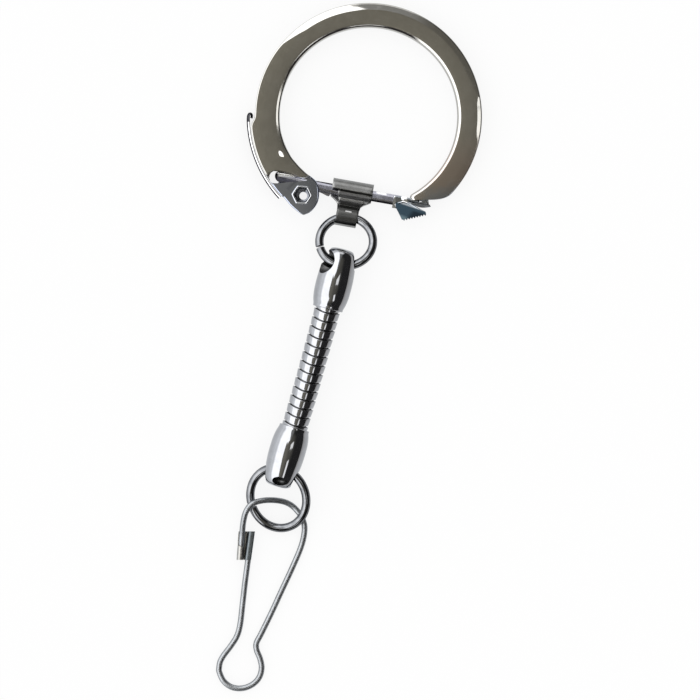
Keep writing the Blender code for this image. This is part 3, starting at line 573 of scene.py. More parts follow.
def make_ring():
    arc = lambda r, a, b, n: [polar(r, a + (b - a) * i / n) for i in range(n + 1)]
    out_a = [(434.0, 199.6), (442.6, 198.9), (449.3, 196.1)] + arc(RO, -43.5, 0, 30)
    in_a = [(411.2, 200.0)] + arc(RI, -63.0, 0, 30)
    out_b, in_b = arc(RO, 0, 176, 110), arc(RI, 0, 176, 110)
    out_c = [polar(RO + (HEAD - RO) * smoothstep(180.2, 184.6, a), a)
             for a in np.linspace(176, 222.6, 34)]
    in_c = arc(RI, 176, 190, 8) + [polar(88.8 - 1.6 * k / 3, 190 + 6 * k) for k in (1, 2, 3)]
    in_c = np.vstack([in_c[:-1], spline([in_c[-1], (299.0, 166.2), (306.2, 173.2)], 8)])
    out_d = spline([out_c[-1], (283.8, 197.5), (290.4, 205.3), (298.2, 211.9), (303.4, 214.9)], 10)
    in_d = spline([(306.2, 173.2), (311.5, 177.0), (316.0, 181.0), (318.4, 186.5),
                   (319.2, 194.0), (318.2, 200.8), (314.9, 207.0), (309.8, 212.2),
                   (303.4, 214.9)], 8)
    outer, inner = [], []
    for a, b, n in ((out_a, in_a, 44), (out_b, in_b, 170), (out_c, in_c, 52), (out_d, in_d, 60)):
        outer.append(even(a, n)[(0 if not outer else 1):])
        inner.append(even(b, n)[(0 if not inner else 1):])
    o, i = np.vstack(outer), np.vstack(inner)
    o[2:-2], i[2:-2] = relax(o, 2)[2:-2], relax(i, 2)[2:-2]
    o, i = o[:-1], i[:-1]

    way = np.degrees(np.unwrap(np.arctan2(CY - o[:, 1], o[:, 0] - CX)))
    width = np.maximum(np.linalg.norm(o - i, axis=1) * K, 1e-4)
    size = np.minimum(1.0, width / 2.9)
    head = smoothstep(188.0, 205.0, way)

    # outer shoulder: a shallow chamfer, broadest along the upper left
    shoulder = np.interp(way, [-50, -14, -10, -7, 6, 10, 22, 91, 97, 126, 134, 140, 145, 300],
                         [0.10, 0.10, 0.60, 0.74, 0.74, 0.40, 0.95, 1.02, 1.12, 1.08, 0.66, 0.24, 0.0, 0.0])
    steep = np.interp(way, [-50, 62, 76, 87, 104, 300], [0, 0, 0.5, 1.0, 0, 0])
    bead = np.interp(way, [-50, 150, 160, 196, 206, 300], [0, 0, 1, 1, 0, 0])
    slope = np.full(len(o), math.tan(math.radians(7.6)))
    r_in = 0.64 - 0.40 * np.maximum(head, bead)
    r_out = 0.17

    def drop_out(d):
        e = np.clip(shoulder - d, 0, None)
        run = np.where(e < 0.16, e * e / 0.32, e - 0.08)
        q = np.clip(r_out - d, 0, r_out)
        run = run + 1.15 * np.clip(steep - d, 0, None)
        return slope * run + r_out - np.sqrt(np.clip(r_out ** 2 - q ** 2, 0, None))

    def drop_in(d):
        q = np.clip(1 - d / r_in, 0, 1)
        return (0.92 * r_in * (1 - np.sqrt(np.clip(1 - q * q, 0, None)))
                + bead * 0.150 * np.clip(0.52 - d, 0, None))

    rows, tops, lows = [], [], []
    steps_out = [r_out * (1 - math.cos(x)) for x in np.linspace(0, math.pi / 2, 7)]
    steps_out += [0.22, 0.27, 0.32, 0.37, 0.42, 0.48, 0.54, 0.62, 0.70, 0.78, 0.86, 0.94, 1.00,
                  1.06, 1.12, 1.22, 1.34]
    steps_in = [0.64 * (1 - math.cos(x)) for x in np.linspace(0, math.pi / 2, 13)] + [0.76, 0.92, 1.12, 1.34]
    for d in steps_out:
        f = d * size / width
        x_mid = (0.5 - f) * width
        rows.append(o + (i - o) * f[:, None])
        crown = 0.0125 * x_mid ** 2
        tops.append(RING_T - crown - size * drop_out(np.full(len(o), d)))
        q = max(r_out - d, 0.0)
        lows.append(size * (r_out - math.sqrt(max(r_out ** 2 - q ** 2, 0.0))))
    for d in steps_in[::-1]:
        f = d * size / width
        x_mid = (0.5 - f) * width
        rows.append(i + (o - i) * f[:, None])
        crown = 0.0125 * x_mid ** 2
        tops.append(RING_T - crown - size * drop_in(np.full(len(o), d)))
        q = max(0.4 - d, 0.0)
        lows.append(size * (0.4 - math.sqrt(max(0.16 - q * q, 0.0))))
    xy = np.stack(rows, axis=1)
    top, low = np.stack(tops, axis=1), np.stack(lows, axis=1)
    # the front cheek is pressed down a little below the window
    line = xy[..., 1] - (184.0 - (xy[..., 0] - 262.0) * 0.149)
    press = 0.16 * smoothstep(-1.5, 1.5, line) * smoothstep(335.0, 318.0, xy[..., 0]) + \
        0.10 * smoothstep(0.0, 30.0, line) * smoothstep(335.0, 318.0, xy[..., 0])
    top = top - press
    n, m = top.shape
    v_top, v_low = plan_rows(xy, top), plan_rows(xy[:, ::-1], low[:, ::-1])
    loop = np.concatenate([v_top, v_low], axis=1)              # closed section at each station
    run = np.concatenate([[0], np.cumsum(np.linalg.norm(np.diff((o + i) / 2, axis=0), axis=1))]) * U
    across = np.linalg.norm(xy - o[:, None, :], axis=2) * U
    lay_top = np.stack([np.repeat(run[:, None], m, 1), across, top * MM], axis=-1)
    lay_low = np.stack([np.repeat(run[:, None], m, 1), across, low * MM], axis=-1)[:, ::-1]
    lay = np.concatenate([lay_top, lay_low], axis=1)
    w = loop.shape[1]
    faces = quads(n, w, wrap_m=True) + [tuple(range(w))[::-1],
                                        tuple((n - 1) * w + k for k in range(w))]
    ring = mesh_object("ring_body_fine", loop.reshape(-1, 3), faces, m_ring,
                       lay.reshape(-1, 3), weld=1e-9)
    wl = WALL / K
    ang = np.linspace(-72, 204, 150)
    duct = [polar(RO - wl, a) for a in ang] + [polar(RI + wl, a) for a in ang[::-1]]
    duct = outline_solid("cut_duct", duct, WALL, RING_T - WALL, None, 0.45, 4)
    slot = [polar(82.0, 196.5), polar(100.0, 195.0), polar(126.0, 196.0), polar(127.0, 215.0),
            (262.0, 215.0), (290.0, 235.0), (330.0, 225.0), (335.0, 170.0), (312.0, 160.0)]
    slot = outline_solid("cut_slot", slot, WALL + 0.02, RING_T - WALL - 0.02, None)
    gap = spline([(271.2, 182.4), (269.8, 180.6), (268.9, 177.6), (269.3, 174.6), (270.8, 172.2),
                  (273.4, 170.6), (277.6, 170.2), (284.0, 171.4), (294.0, 174.6),
                  (302.0, 177.6), (306.6, 179.4)], 5)
    under = spline([(306.9, 180.6), (300.0, 181.4), (288.0, 182.3), (278.0, 183.3), (272.6, 183.2)], 5)
    win = outline_solid("cut_window", np.vstack([gap, under]), 2.0, RING_T + 1.0, None)
    through = [(271.4, 182.6), (270.0, 180.8), (269.1, 177.8), (269.5, 174.9), (271.0, 172.5),
               (273.6, 170.9), (279.0, 171.4), (280.4, 175.0),
               (280.4, 180.0), (277.6, 183.2), (272.8, 183.1)]
    through = outline_solid("cut_through", through, -1.0, 2.2, None)
    hole = [(0, -8), (9.6, -8), (9.6, 0.0), (7.2, 3.2), (7.2, 30.0), (0, 30.0)]
    v, f, _ = turned(hole, plan(*PIN, 0.0), (0, 0, 1), 64, up=(1, 0, 0))
    hole = mesh_object("cut_pin", v, f, [])
    # small nick with a flat floor that rises to the right
    nick = spline([(278.2, 151.6), (280.2, 151.0), (285.6, 155.4), (284.6, 156.9), (280.4, 156.4),
                   (278.6, 154.4), (278.2, 151.6)], 4)[:-1]
    x_left = plan(278.2, 0)[0]
    nick = outline_solid("cut_nick", nick, RING_T - 0.19, RING_T + 0.6, None,
                         lift=lambda co: (co.x - x_left) * 0.20)
    carve(ring, [duct, slot, win, through, hole, nick], sharp=34.0, solver='MANIFOLD')
    return done(ring, "ring", "ring_nickel", "ring_body")


def make_rivet():
    n = 120
    z = RING_T
    ang = np.linspace(0, 2 * math.pi, n, endpoint=False)

    def hexa(size, soft):
        a = (ang + math.radians(4)) % (math.pi / 3)
        flat = math.cos(math.pi / 6) / np.cos(a - math.pi / 6)
        return size * (flat * (1 - soft) + soft * 0.955)

    one = np.ones(n)
    off = (1.3, 0.9)                                # the bore sits a little to one side
    loops = [(0.56 * one, 0.04, 1.0), (0.60 * one, 0.0, 1.0), (1.30 * one, 0.0, 0.0),
             (1.36 * one, 0.05, 0.0), (1.0 * one, 0.46, 0.0), (1.0 * one, z - 0.12, 0.0),
             (hexa(1.30, 0.6), z - 0.06, 0.0), (hexa(1.48, 0.25), z + 0.0, 0.0),
             (hexa(1.55, 0.12), z + 0.12, 0.0), (hexa(1.56, 0.10), z + 0.22, 0.0),
             (hexa(1.52, 0.10), z + 0.32, 0.0), (hexa(1.45, 0.12), z + 0.385, 0.0),
             (hexa(1.36, 0.14), z + 0.40, 0.0), (hexa(1.27, 0.16), z + 0.36, 0.05),
             (hexa(1.20, 0.20), z + 0.27, 0.1), (hexa(1.13, 0.30), z + 0.13, 0.2),
             (hexa(1.02, 0.50), z + 0.05, 0.4), (0.84 * one, z + 0.0, 0.8),
             (0.68 * one, z - 0.02, 1.0), (0.58 * one, z - 0.08, 1.0),
             (0.56 * one, z - 0.25, 1.0)]
    rows = []
    for r, h, k in loops:
        x = PIN[0] + off[0] * k + r / K * np.cos(ang)
        y = PIN[1] + off[1] * k - r / K * np.sin(ang)
        rows.append(plan_rows(np.stack([x, y], 1), np.full(n, h)))
    v = np.stack(rows, 0)
    ob = mesh_object("hinge_rivet_fine", v.reshape(-1, 3),
                     quads(len(rows), n, wrap_n=True, wrap_m=True), [m_rivet, m_bowl],
                     face_mat=[1 if 14 <= k <= 18 else 0 for k in range(len(rows)) for _ in range(n)],
                     sharp=50.0)
    return done(ob, "ring", "rivet_nickel", "hinge_rivet")


def make_spring():
    """Leaf strip on edge: its front edge is rolled towards the outside."""
    ang = np.linspace(222.4, 181.4, 90)
    mid = [polar(120.3, a) for a in ang]
    curl = spline([mid[-1], polar(120.0, 179.6), polar(118.9, 178.7), polar(117.3, 178.8),
                   polar(116.7, 179.8), polar(117.3, 180.8)], 10)[1:]
    mid = relax(even(np.vstack([mid, curl]), 190), 2)
    t = np.gradient(mid, axis=0)
    t = unit(t)
    nrm = np.stack([t[:, 1], -t[:, 0]], 1)
    if (nrm[10] @ (mid[10] - np.array([CX, CY]))) < 0:
        nrm = -nrm
    thick = np.full(len(mid), 1.62)                   # half thickness, drawing units
    thick[-26:] = np.linspace(1.62, 1.15, 26)
    sec = fillet([(-1, 0.36), (-1.0, 2.34), (-0.86, 2.45), (0.22, 2.38), (0.97, 2.10),
                  (1, 2.00), (1, 0.40), (0.6, 0.34), (-1, 0.34)], 0.03, 3)[1:-1]
    rows = []
    for a, z in sec:
        rows.append(plan_rows(mid + nrm * (thick * a)[:, None], np.full(len(mid), z)))
    v = np.stack(rows, 1)
    s = np.concatenate([[0], np.cumsum(np.linalg.norm(np.diff(mid, axis=0), axis=1))]) * U
    lay = np.stack([np.repeat(s[:, None], len(sec), 1),
                    np.repeat(sec[None, :, 0] * 1.62 * U, len(mid), 0),
                    np.repeat(sec[None, :, 1] * MM, len(mid), 0)], -1)
    n, m = v.shape[:2]
    faces = quads(n, m, wrap_m=True) + [tuple(range(m))[::-1],
                                        tuple((n - 1) * m + k for k in range(m))]
    # faces given the near-black material: painted shade on the outer half of the rolled edge and on the curled
    # tip
    dull = [int(k > n - 30 or 0.5 * (sec[j, 0] + sec[(j + 1) % m, 0]) > 0.24)
            for k in range(n - 1) for j in range(m)] + [1, 1]
    ob = mesh_object("leaf_spring_fine", v.reshape(-1, 3), faces, [m_spring, m_leaf_edge_shade], lay.reshape(-1, 3),
                     dull, sharp=30.0)
    return done(ob, "ring", "spring_steel", "leaf_spring")


# -------------------------------------------------------------------- the gate
DROP = math.radians(10.0)


def bar_pt(u, v):
    c, s = math.cos(DROP), math.sin(DROP)
    return 352.0 + u * c + v * s, 192.4 + u * s - v * c


def make_gate():
    h = 5.2
    z0, z1 = 0.85, 1.95
    pin_u = (PIN[0] - 352.0) * math.cos(DROP) + (PIN[1] - 192.4) * math.sin(DROP)
    pin_v = (PIN[0] - 352.0) * math.sin(DROP) - (PIN[1] - 192.4) * math.cos(DROP)
    arc = lambda cu, cv, r, a0, a1, n: [
        (cu + r * math.cos(math.radians(a0 + (a1 - a0) * i / n)),
         cv + r * math.sin(math.radians(a0 + (a1 - a0) * i / n))) for i in range(n + 1)]
    pts = [(53.0, -h), (53.0, h)]
    pts += [(u, h) for u in np.linspace(50, -46, 24)]
    pts += [tuple(p) for p in spline([(-48.0, h + 0.1), (-54.0, 6.6), (-62.0, 7.8), (-70.0, 8.4), (-75.4, 8.2),
                                      (-78.0, 6.8), (-78.9, 3.8), (-78.0, 0.6), (-75.4, -1.8), (-71.0, -3.6)], 4)]
    pts += arc(pin_u, pin_v, 13.6, 218, 357, 40)
    pts += [tuple(p) for p in spline([(-34.4, -5.0), (-29.0, -6.2), (-24.6, -7.6), (-22.4, -7.8),
                                      (-21.6, -6.8), (-20.6, -h)], 5)[1:]]
    pts += [(u, -h) for u in np.linspace(-19, 48, 18)]
    pts = [bar_pt(u, v) for u, v in pts]
    bar = outline_solid("gate_bar_fine", pts, z0, z1, m_bar)
    # its front is crowned, and rolls over to both edges
    across = np.array([math.sin(DROP), math.cos(DROP)])
    bm = bmesh.new()
    bm.from_mesh(bar.data)
    for v in [-5.1, -4.95, -4.7, -4.4, -4.0, -3.5, -3.0, -2.5, -2.0, -1.0, 0.0, 1.0, 1.6, 2.1, 2.6, 3.1, 3.6,
              4.0, 4.4, 4.7, 4.95, 5.1, 5.7, 6.2, 6.7, 7.1, 7.5, 7.8]:
        at = plan(*bar_pt(0.0, v))
        bmesh.ops.bisect_plane(bm, geom=bm.verts[:] + bm.edges[:] + bm.faces[:], plane_co=at,
                               plane_no=(across[0], across[1], 0.0))
    mid = plan(*bar_pt(0.0, 0.0))[:2]
    along = np.array([math.cos(DROP), -math.sin(DROP)])
    for v in bm.verts:
        if v.co.z > 1.5 * MM:
            rel = (np.array(v.co)[:2] - mid) / U
            q, u = rel @ across, rel @ along
            tail = float(smoothstep(-46.0, -54.0, u))
            top, wide = h + 2.9 * tail, 2.2 + 1.9 * tail
            clip = lambda x, w: min(max(x, 0.0), w)
            v.co.z -= U * (0.64 * clip(q - top + wide + 1.2, wide) + 0.90 * clip(q - top + 1.2, 1.2)
                           + 0.27 * clip(-q - h + 3.4, 2.5) + 0.90 * clip(-q - h + 0.9, 0.9)
                           + 0.80 * clip(-u - 76.4, 2.6))
    bm.to_mesh(bar.data)
    bm.free()
    shade(bar, 15.0)
    v, f, _ = turned([(0, -5), (7.62, -5), (7.62, 30), (0, 30)], plan(*PIN, 0.0), (0, 0, 1), 64,
                     up=(1, 0, 0))
    carve(bar, [mesh_object("cut_lug", v, f, [])])
    w = bar.modifiers.new("weigh", 'WEIGHTED_NORMAL')
    w.keep_sharp, w.weight = True, 60
    return done(bar, "gate", "bar_nickel", "gate_bar")


def make_latch():
    h, e = 5.2, 53.0
    z0, z1 = 0.85, 1.95
    box = lambda name, a, b, c, d, lo, hi: outline_solid(
        name, [bar_pt(a, c), bar_pt(b, c), bar_pt(b, d), bar_pt(a, d)], lo, hi, m_latch)
    tab = box("latch_tab_fine", 42.0, e + 3.6, -h - 3.0, 2.6, z1 + 0.06, z1 + 0.42)
    parts = [box("j1", 42.3, e + 3.2, -h - 2.8, -h - 0.45, z0, z1 + 0.30),
             box("j2", e + 0.45, e + 3.4, -h - 2.6, 2.4, z0 + 0.03, z1 + 0.26)]
    lever = [(407.0, 200.2), (412.0, 200.6), (418.0, 201.4), (424.0, 202.6), (430.2, 205.6), (430.0, 207.0),
             (424.6, 207.6), (420.4, 207.4), (414.0, 205.4), (408.0, 203.6)]
    tip = plan(430.2, 205.6)[0]
    parts.append(outline_solid("j3", spline(lever + lever[:1], 4)[:-1], z0 + 0.05, z1 + 0.02, m_latch,
                               lift=lambda co: -0.00016 * max(0.0, 1 - (tip - co.x) / (16 * U))))
    nose = [(421.2, 204.4), (429.0, 205.8), (428.6, 201.0), (427.4, 196.6), (425.6, 194.4),
            (423.6, 196.4), (421.6, 200.0)]
    parts.append(outline_solid("j4", nose, z0 + 0.10, z1 - 0.08, m_latch))
    edge = []
    ax, ay, bx, by = 426.4, 214.2, 402.6, 219.8
    teeth = 9
    for i in range(teeth):
        for k, out in ((0.12, 0.0), (0.38, 1.25), (0.62, 1.25), (0.88, 0.0)):
            t = (i + k) / teeth
            edge.append((ax + (bx - ax) * t + 0.22 * out, ay + (by - ay) * t + 0.97 * out))
    plate = [(394.4, 204.4), (398.4, 202.0), (403.0, 200.6), (407.6, 201.4), (413.6, 205.0),
             (419.4, 208.4), (425.6, 211.8)] + edge + [(401.8, 219.7), (399.6, 215.2), (396.8, 209.6)]
    rise = lambda co: ((PLAN_Y0 - 204.2) * U - co.y) * 0.42
    parts.append(outline_solid("j5", plate, z1 + 0.11, z1 + 0.50, m_latch, lift=rise))
    glint = [(401.6, 196.2), (407.0, 197.2), (406.6, 200.4), (401.4, 199.6)]
    parts.append(outline_solid("j6", glint, z1 + 0.12, z1 + 0.44, m_latch,
                               lift=lambda co: ((PLAN_Y0 - 197.4) * U - co.y) * 0.5))
    # rolled ridge along the fold
    v, f, _ = tube([plan(397.0, 203.6, z1 + 0.42), plan(403.6, 201.6, z1 + 0.42),
                    plan(411.4, 204.8, z1 + 0.52), plan(420.6, 210.2, z1 + 0.72)], 0.14 * MM, 16)
    parts.append(mesh_object("j7", v, f, m_latch))
    for k, (x0, y0, x1, y1, z, r) in enumerate(((395.0, 197.2, 417.5, 201.2, 2.06, 0.26),
                                                (409.0, 203.0, 429.0, 205.9, 1.98, 0.20),
                                                (414.0, 200.4, 427.5, 199.6, 1.78, 0.17))):
        v, f, _ = tube(np.linspace(plan(x0, y0, z), plan(x1, y1, z), 24), r * MM, 20, start="dome", end="dome")
        parts.append(mesh_object("r%d" % k, v, f, m_latch))
    carve(tab, parts, 'UNION')
    soften(tab, 0.05, 2, 30.0)
    return done(tab, "gate", "latch_nickel", "latch_tab")


# ------------------------------------------------------------------- the strap
def make_strap():
    """One strip: its end laps the front of the roll, it goes round the bar, down the
    back, round the jump ring and up the front again to end under the roll."""
    t = 0.19                                        # half the sheet's thickness, mm
    zc, R = 1.4, 1.20
    ev = -26.3 * K
    path = []
    for b in np.linspace(-128, 208, 60):            # roll; 0 in front, + upwards
        a = math.radians(b)
        path.append((1.30 * math.sin(a) + 1.3 * K, zc + R * math.cos(a)))
    back = [(-1.35, zc - 0.62), (-1.85, zc - 0.36), (-2.25, zc - 0.44), (-2.65, zc - 0.92)]
    eye = [(ev + (1.42 if math.sin(math.radians(b)) > 0 else 1.04) * math.sin(math.radians(b)),
            zc + 1.11 * math.cos(math.radians(b))) for b in np.linspace(142, 398, 56)]
    front = [(-2.62, zc + 0.74), (-2.26, zc + 0.20), (-1.90, zc + 0.10), (-1.56, zc + 0.42),
             (-1.22, zc + 0.66), (-0.98, zc + 0.62)]
    raw = np.array(path + back + eye + front)
    line = relax(even(spline(raw, 3), 330), 6)
    tan = unit(np.gradient(line, axis=0))
    nrm = np.stack([-tan[:, 1], tan[:, 0]], 1)
    v_u = line[:, 0] / K

    lo_v = [-60, -17.0, -14.0, -11.0, -8.8, -7.0, 60]
    left = np.interp(v_u, lo_v, [-11.8, -11.9, -12.4, -14.2, -17.4, -20.5, -20.5])
    right = np.interp(v_u, lo_v, [10.2, 10.2, 10.9, 13.6, 17.6, 20.5, 20.5])
    front_run = np.arange(len(line)) > int(len(line) * 0.6)
    left = np.where(front_run, np.interp(v_u, [-32, -24, -16, -9, -6], [-12.2, -11.2, -10.4, -11.6, -12.0]), left)
    right = np.where(front_run, np.interp(v_u, [-32, -24, -16, -13, -9, -6], [9.6, 10.0, 8.4, 9.4, 13.2, 15.0]),
                     right)
    lap = np.arange(len(line)) < int(np.argmax(line[:120, 1])) + 1
    left = np.where(lap & (v_u < 0.9), np.interp(v_u, [-9, -5, -1], [-12.4, -13.2, -13.8]), left)
    right = np.where(lap, np.interp(v_u, [-9, -6, -3], [14.5, 18.0, 20.5]), right)
    cols = 15
    rows_f, rows_b, lay = [], [], []
    ks = np.linspace(0, 1, cols)
    s = np.concatenate([[0], np.cumsum(np.linalg.norm(np.diff(line, axis=0), axis=1))]) * MM
    for side in (1, -1):
        pv = (line + nrm * t * side)
        grid = np.empty((len(line), cols, 3))
        for j, k in enumerate(ks):
            u = left * (1 - k) + right * k
            c, sn = math.cos(DROP), math.sin(DROP)
            vv = pv[:, 0] / K
            x, y = 352.0 + u * c + vv * sn, 192.4 + u * sn - vv * c
            grid[:, j] = plan_rows(np.stack([x, y], 1), pv[:, 1])
        (rows_f if side == 1 else rows_b).append(grid)
        lay.append(np.stack([np.repeat(s[:, None], cols, 1),
                             (left[:, None] * (1 - ks) + right[:, None] * ks) * U,
                             np.full((len(line), cols), side * t * MM)], -1))
    a, b = rows_f[0], rows_b[0]
    n = len(line)
    loop = np.concatenate([a, b[:, ::-1]], axis=1)
    lay = np.concatenate([lay[0], lay[1][:, ::-1]], axis=1)
    w = loop.shape[1]
    faces = quads(n, w, wrap_m=True) + [tuple(range(w))[::-1],
                                        tuple((n - 1) * w + k for k in range(w))]
    ob = mesh_object("hanger_strap_fine", loop.reshape(-1, 3), faces, m_strap,
                     lay.reshape(-1, 3), sharp=35.0)
    soften(ob, 0.05, 2, 50.0)
    return done(ob, "hanger", "strap_nickel", "hanger_strap")


# -------------------------------------------------------------- the jump rings
def upper_path(a0, a1, n):
    a = np.radians(np.linspace(a0, a1, n))
    x, y = 346.2 + 26.8 * np.cos(a), 241.5 - 24.4 * np.sin(a)
    return plan_rows(np.stack([x, y], 1), 2.06 + 0.184 * (y - 241.5) * K)


def lower_path(a0, a1, n):
    a = np.radians(np.linspace(a0, a1, n))
    t = a - math.radians(115.5)
    r = 30.9 * 27.3 / np.hypot(27.3 * np.cos(t), 30.9 * np.sin(t))
    dx, dy = r * np.cos(a), r * np.sin(a)
    return plan_rows(np.stack([278.3 + dx, 497.9 - dy], 1), 1.78 + (0.1242 * dx + 0.2146 * dy) * K)


def make_jump_rings():
    v, f, lay = tube(upper_path(195.0, 551.0, 240), 0.62 * MM, 40, lip=0.07)
    a = mesh_object("jump_ring_upper_fine", v, f, m_jump, lay, sharp=50.0)
    done(a, "upper_ring", "jump_ring_nickel", "jump_ring_upper")
    v, f, lay = tube(lower_path(200.0, 550.0, 240), 0.62 * MM, 40, lip=0.07)
    b = mesh_object("jump_ring_lower_fine", v, f, m_jump, lay, sharp=50.0)
    done(b, "lower_ring", "jump_ring_nickel", "jump_ring_lower")


# ------------------------------------------------------------- the snake chain
C0, C1, TURN, CAP_LEN, DEPTH, LINKS, GAP = ((343.0, 248.8), (276.7, 486.6), math.radians(2.4),
                                            62.0, 6.0, 15, 1.9)
LINK_R, CHAIN_Z = 13.2, 2.70


def chain_run():
    first = CAP_LEN - DEPTH + 0.7
    chord = math.hypot(C1[0] - C0[0], C1[1] - C0[1])
    base = math.atan2(C0[0] - C1[0], C1[1] - C0[1])
    lean = [TURN * (i / (LINKS + 1) - 0.5) for i in range(LINKS + 2)]
    pitch = ((chord - 2 * first * math.cos(lean[0]) + GAP) / sum(math.cos(a) for a in lean[1:-1]))
    dirs = [(-math.sin(base + a), math.cos(base + a)) for a in lean]
    x, y = C0[0] + dirs[0][0] * first, C0[1] + dirs[0][1] * first
    run = []
    for dx, dy in dirs[1:-1]:
        run.append((x, y, dx, dy))
        x, y = x + dx * pitch, y + dy * pitch
    return run, dirs[0], dirs[-1], pitch


CAP_SHAPE = [(0.0, 0.0), (4.4, 0.12), (8.2, 0.55), (10.6, 1.35), (12.4, 2.5), (13.7, 3.9), (14.7, 5.7),
             (15.6, 8.6), (16.2, 12.0), (17.2, 20.0), (18.0, 29.0), (18.22, 38.0), (17.9, 47.0),
             (16.9, 54.0), (15.5, 59.0)]


def make_cap(name, node, end, axis, way, body, mouths):
    """Turned cap. mouths are the openings of its eye: centre (plan and mm) and half sizes (mm)."""
    shape = spline(CAP_SHAPE, 6)
    rim = [(15.25, 60.0), (15.3, 60.9), (15.15, 61.6), (14.75, 62.0), (14.2, 61.9), (13.85, 61.4),
           (13.78, 60.0), (13.78, 56.6), (13.4, 56.0), (0.0, 56.0)]
    prof = np.vstack([shape, rim])
    v, f, lay = turned(prof, end, axis, 144)
    cap = mesh_object(name, v, f, [m_cap, m_link_shade], lay, sharp=35.0)
    # the eye follows the jump ring and opens out a little at each mouth
    ax = unit(axis)
    rel = way - end
    t = rel @ ax / U
    rho = np.linalg.norm(rel - np.outer(rel @ ax, ax), axis=1) / U
    r_at = np.interp(t, shape[:, 1], shape[:, 0], left=0.0)
    depth = np.where(t > 0, (r_at - rho) * K, -0.5)
    flare = 1.02 + 0.30 * np.clip(1 - depth / 0.45, 0, 1.5) ** 2
    v, f, lay = tube(way, flare * MM, 40, lip=0.02)
    # the eye's bore and mouths take the dark material: painted shade
    cuts = [mesh_object("cut_" + name, v, f, [m_cap, m_link_shade], lay, [1] * len(f))]
    for k, (x, y, z, turn, size) in enumerate(mouths):
        bm = bmesh.new()
        bmesh.ops.create_uvsphere(bm, u_segments=48, v_segments=28, radius=1.0)
        bmesh.ops.transform(bm, verts=bm.verts, matrix=Matrix.Translation(Vector(plan(x, y, z)))
                            @ Matrix.Rotation(math.radians(turn), 4, 'Z')
                            @ Matrix.Diagonal((size[0] * MM, size[1] * MM, size[2] * MM, 1.0)))
        me = bpy.data.meshes.new("cut_mouth_%s_%d" % (name, k))
        bm.to_mesh(me)
        bm.free()
        for m in (m_cap, m_link_shade):
            me.materials.append(m)
        me.polygons.foreach_set("material_index", [1] * len(me.polygons))
        ob = bpy.data.objects.new(me.name, me)
        bpy.context.scene.collection.objects.link(ob)
        cuts.append(ob)
    carve(cap, cuts, sharp=34.0, solver='MANIFOLD')
    soften(cap, 0.045, 2, 34.0, 34.0)
    return done(cap, body, "cap_chrome", node)


def make_link(i, start, axis, pitch, body):
    ln = pitch - GAP
    R = LINK_R
    a, b = -0.36, ln + 0.36                        # the sleeves leave a fine seam
    fall = 0.62                                    # each tapers towards the hook
    wall = [(R - fall * (k / 10.0) ** 1.15, a + 0.34 + (b - a - 0.68) * k / 10.0) for k in range(11)]
    outer = [(R - 0.75, a), (R - 0.42, a + 0.03), (R - 0.12, a + 0.16)] + wall + \
            [(R - fall - 0.13, b - 0.15), (R - fall - 0.36, b - 0.02), (R - fall - 0.62, b)]
    inner = [(R - fall - 0.95, b - 0.15), (R - fall - 1.05, b - 0.6), (R - fall - 1.05, b - 2.6),
             (R - 2.6, b - 3.1), (R - 2.8, 2.9), (R - 3.3, 2.2), (0.0, 2.1)]
    lip = [(0.0, -2.1), (R - 3.2, -2.1), (R - 2.55, -1.9), (R - 2.3, -1.4), (R - 2.3, a - 0.05),
           (R - 1.2, a)]
    if i == 1:
        lip = [(0.0, a), (R - 1.2, a)]
    prof = lip + outer + inner
    # lip, seam collar and inside take the dark material: painted shade
    mats = np.array([1] * (len(lip) - 1) + [0] * (len(outer) + 1) + [1] * (len(inner) - 1))
    amp = 1.5

    def wave(r, t, phi):
        w = smoothstep(7.5, 10.5, r)
        if i == 1:
            w = w * smoothstep(0.5, ln - 1.0, t)
        if i == LINKS:
            w = w * (1 - smoothstep(1.0, ln - 0.5, t))
        return amp * np.cos(2 * phi) * w

    steps = 96
    v, f, lay = turned(prof, start, axis, steps, wave=wave)
    fm = np.repeat(mats[:len(prof) - 1], steps)
    lay = lay + np.array([0.011 * i, 0.0, 0.0])
    ob = mesh_object("link_%02d_fine" % i, v, f, [m_link, m_link_shade], lay, face_mat=fm, sharp=40.0)
    return done(ob, body, "link_chrome", "link_%02d" % i)


def make_chain():
    run, (ux, uy), (lx, ly), pitch = chain_run()
    make_cap("cap_upper_fine", "cap_upper", plan(*C0, CHAIN_Z), np.array([ux, -uy, 0.0]),
             upper_path(163.0, 347.0, 120), "upper_cap",
             [(323.6, 260.8, 4.15, -14.0, (1.95, 1.85, 1.55))])
    make_cap("cap_lower_fine", "cap_lower", plan(*C1, CHAIN_Z), np.array([-lx, ly, 0.0]),
             lower_path(8.0, 162.0, 120), "lower_cap",
             [(279.6, 481.2, 5.05, -10.0, (1.16, 0.66, 1.30))])
    for k, (x, y, dx, dy) in enumerate(run):
        i = k + 1
        body = "upper_cap" if i == 1 else "lower_cap" if i == LINKS else "chain_%02d" % i
        make_link(i, plan(x, y, CHAIN_Z), np.array([dx, -dy, 0.0]), pitch, body)


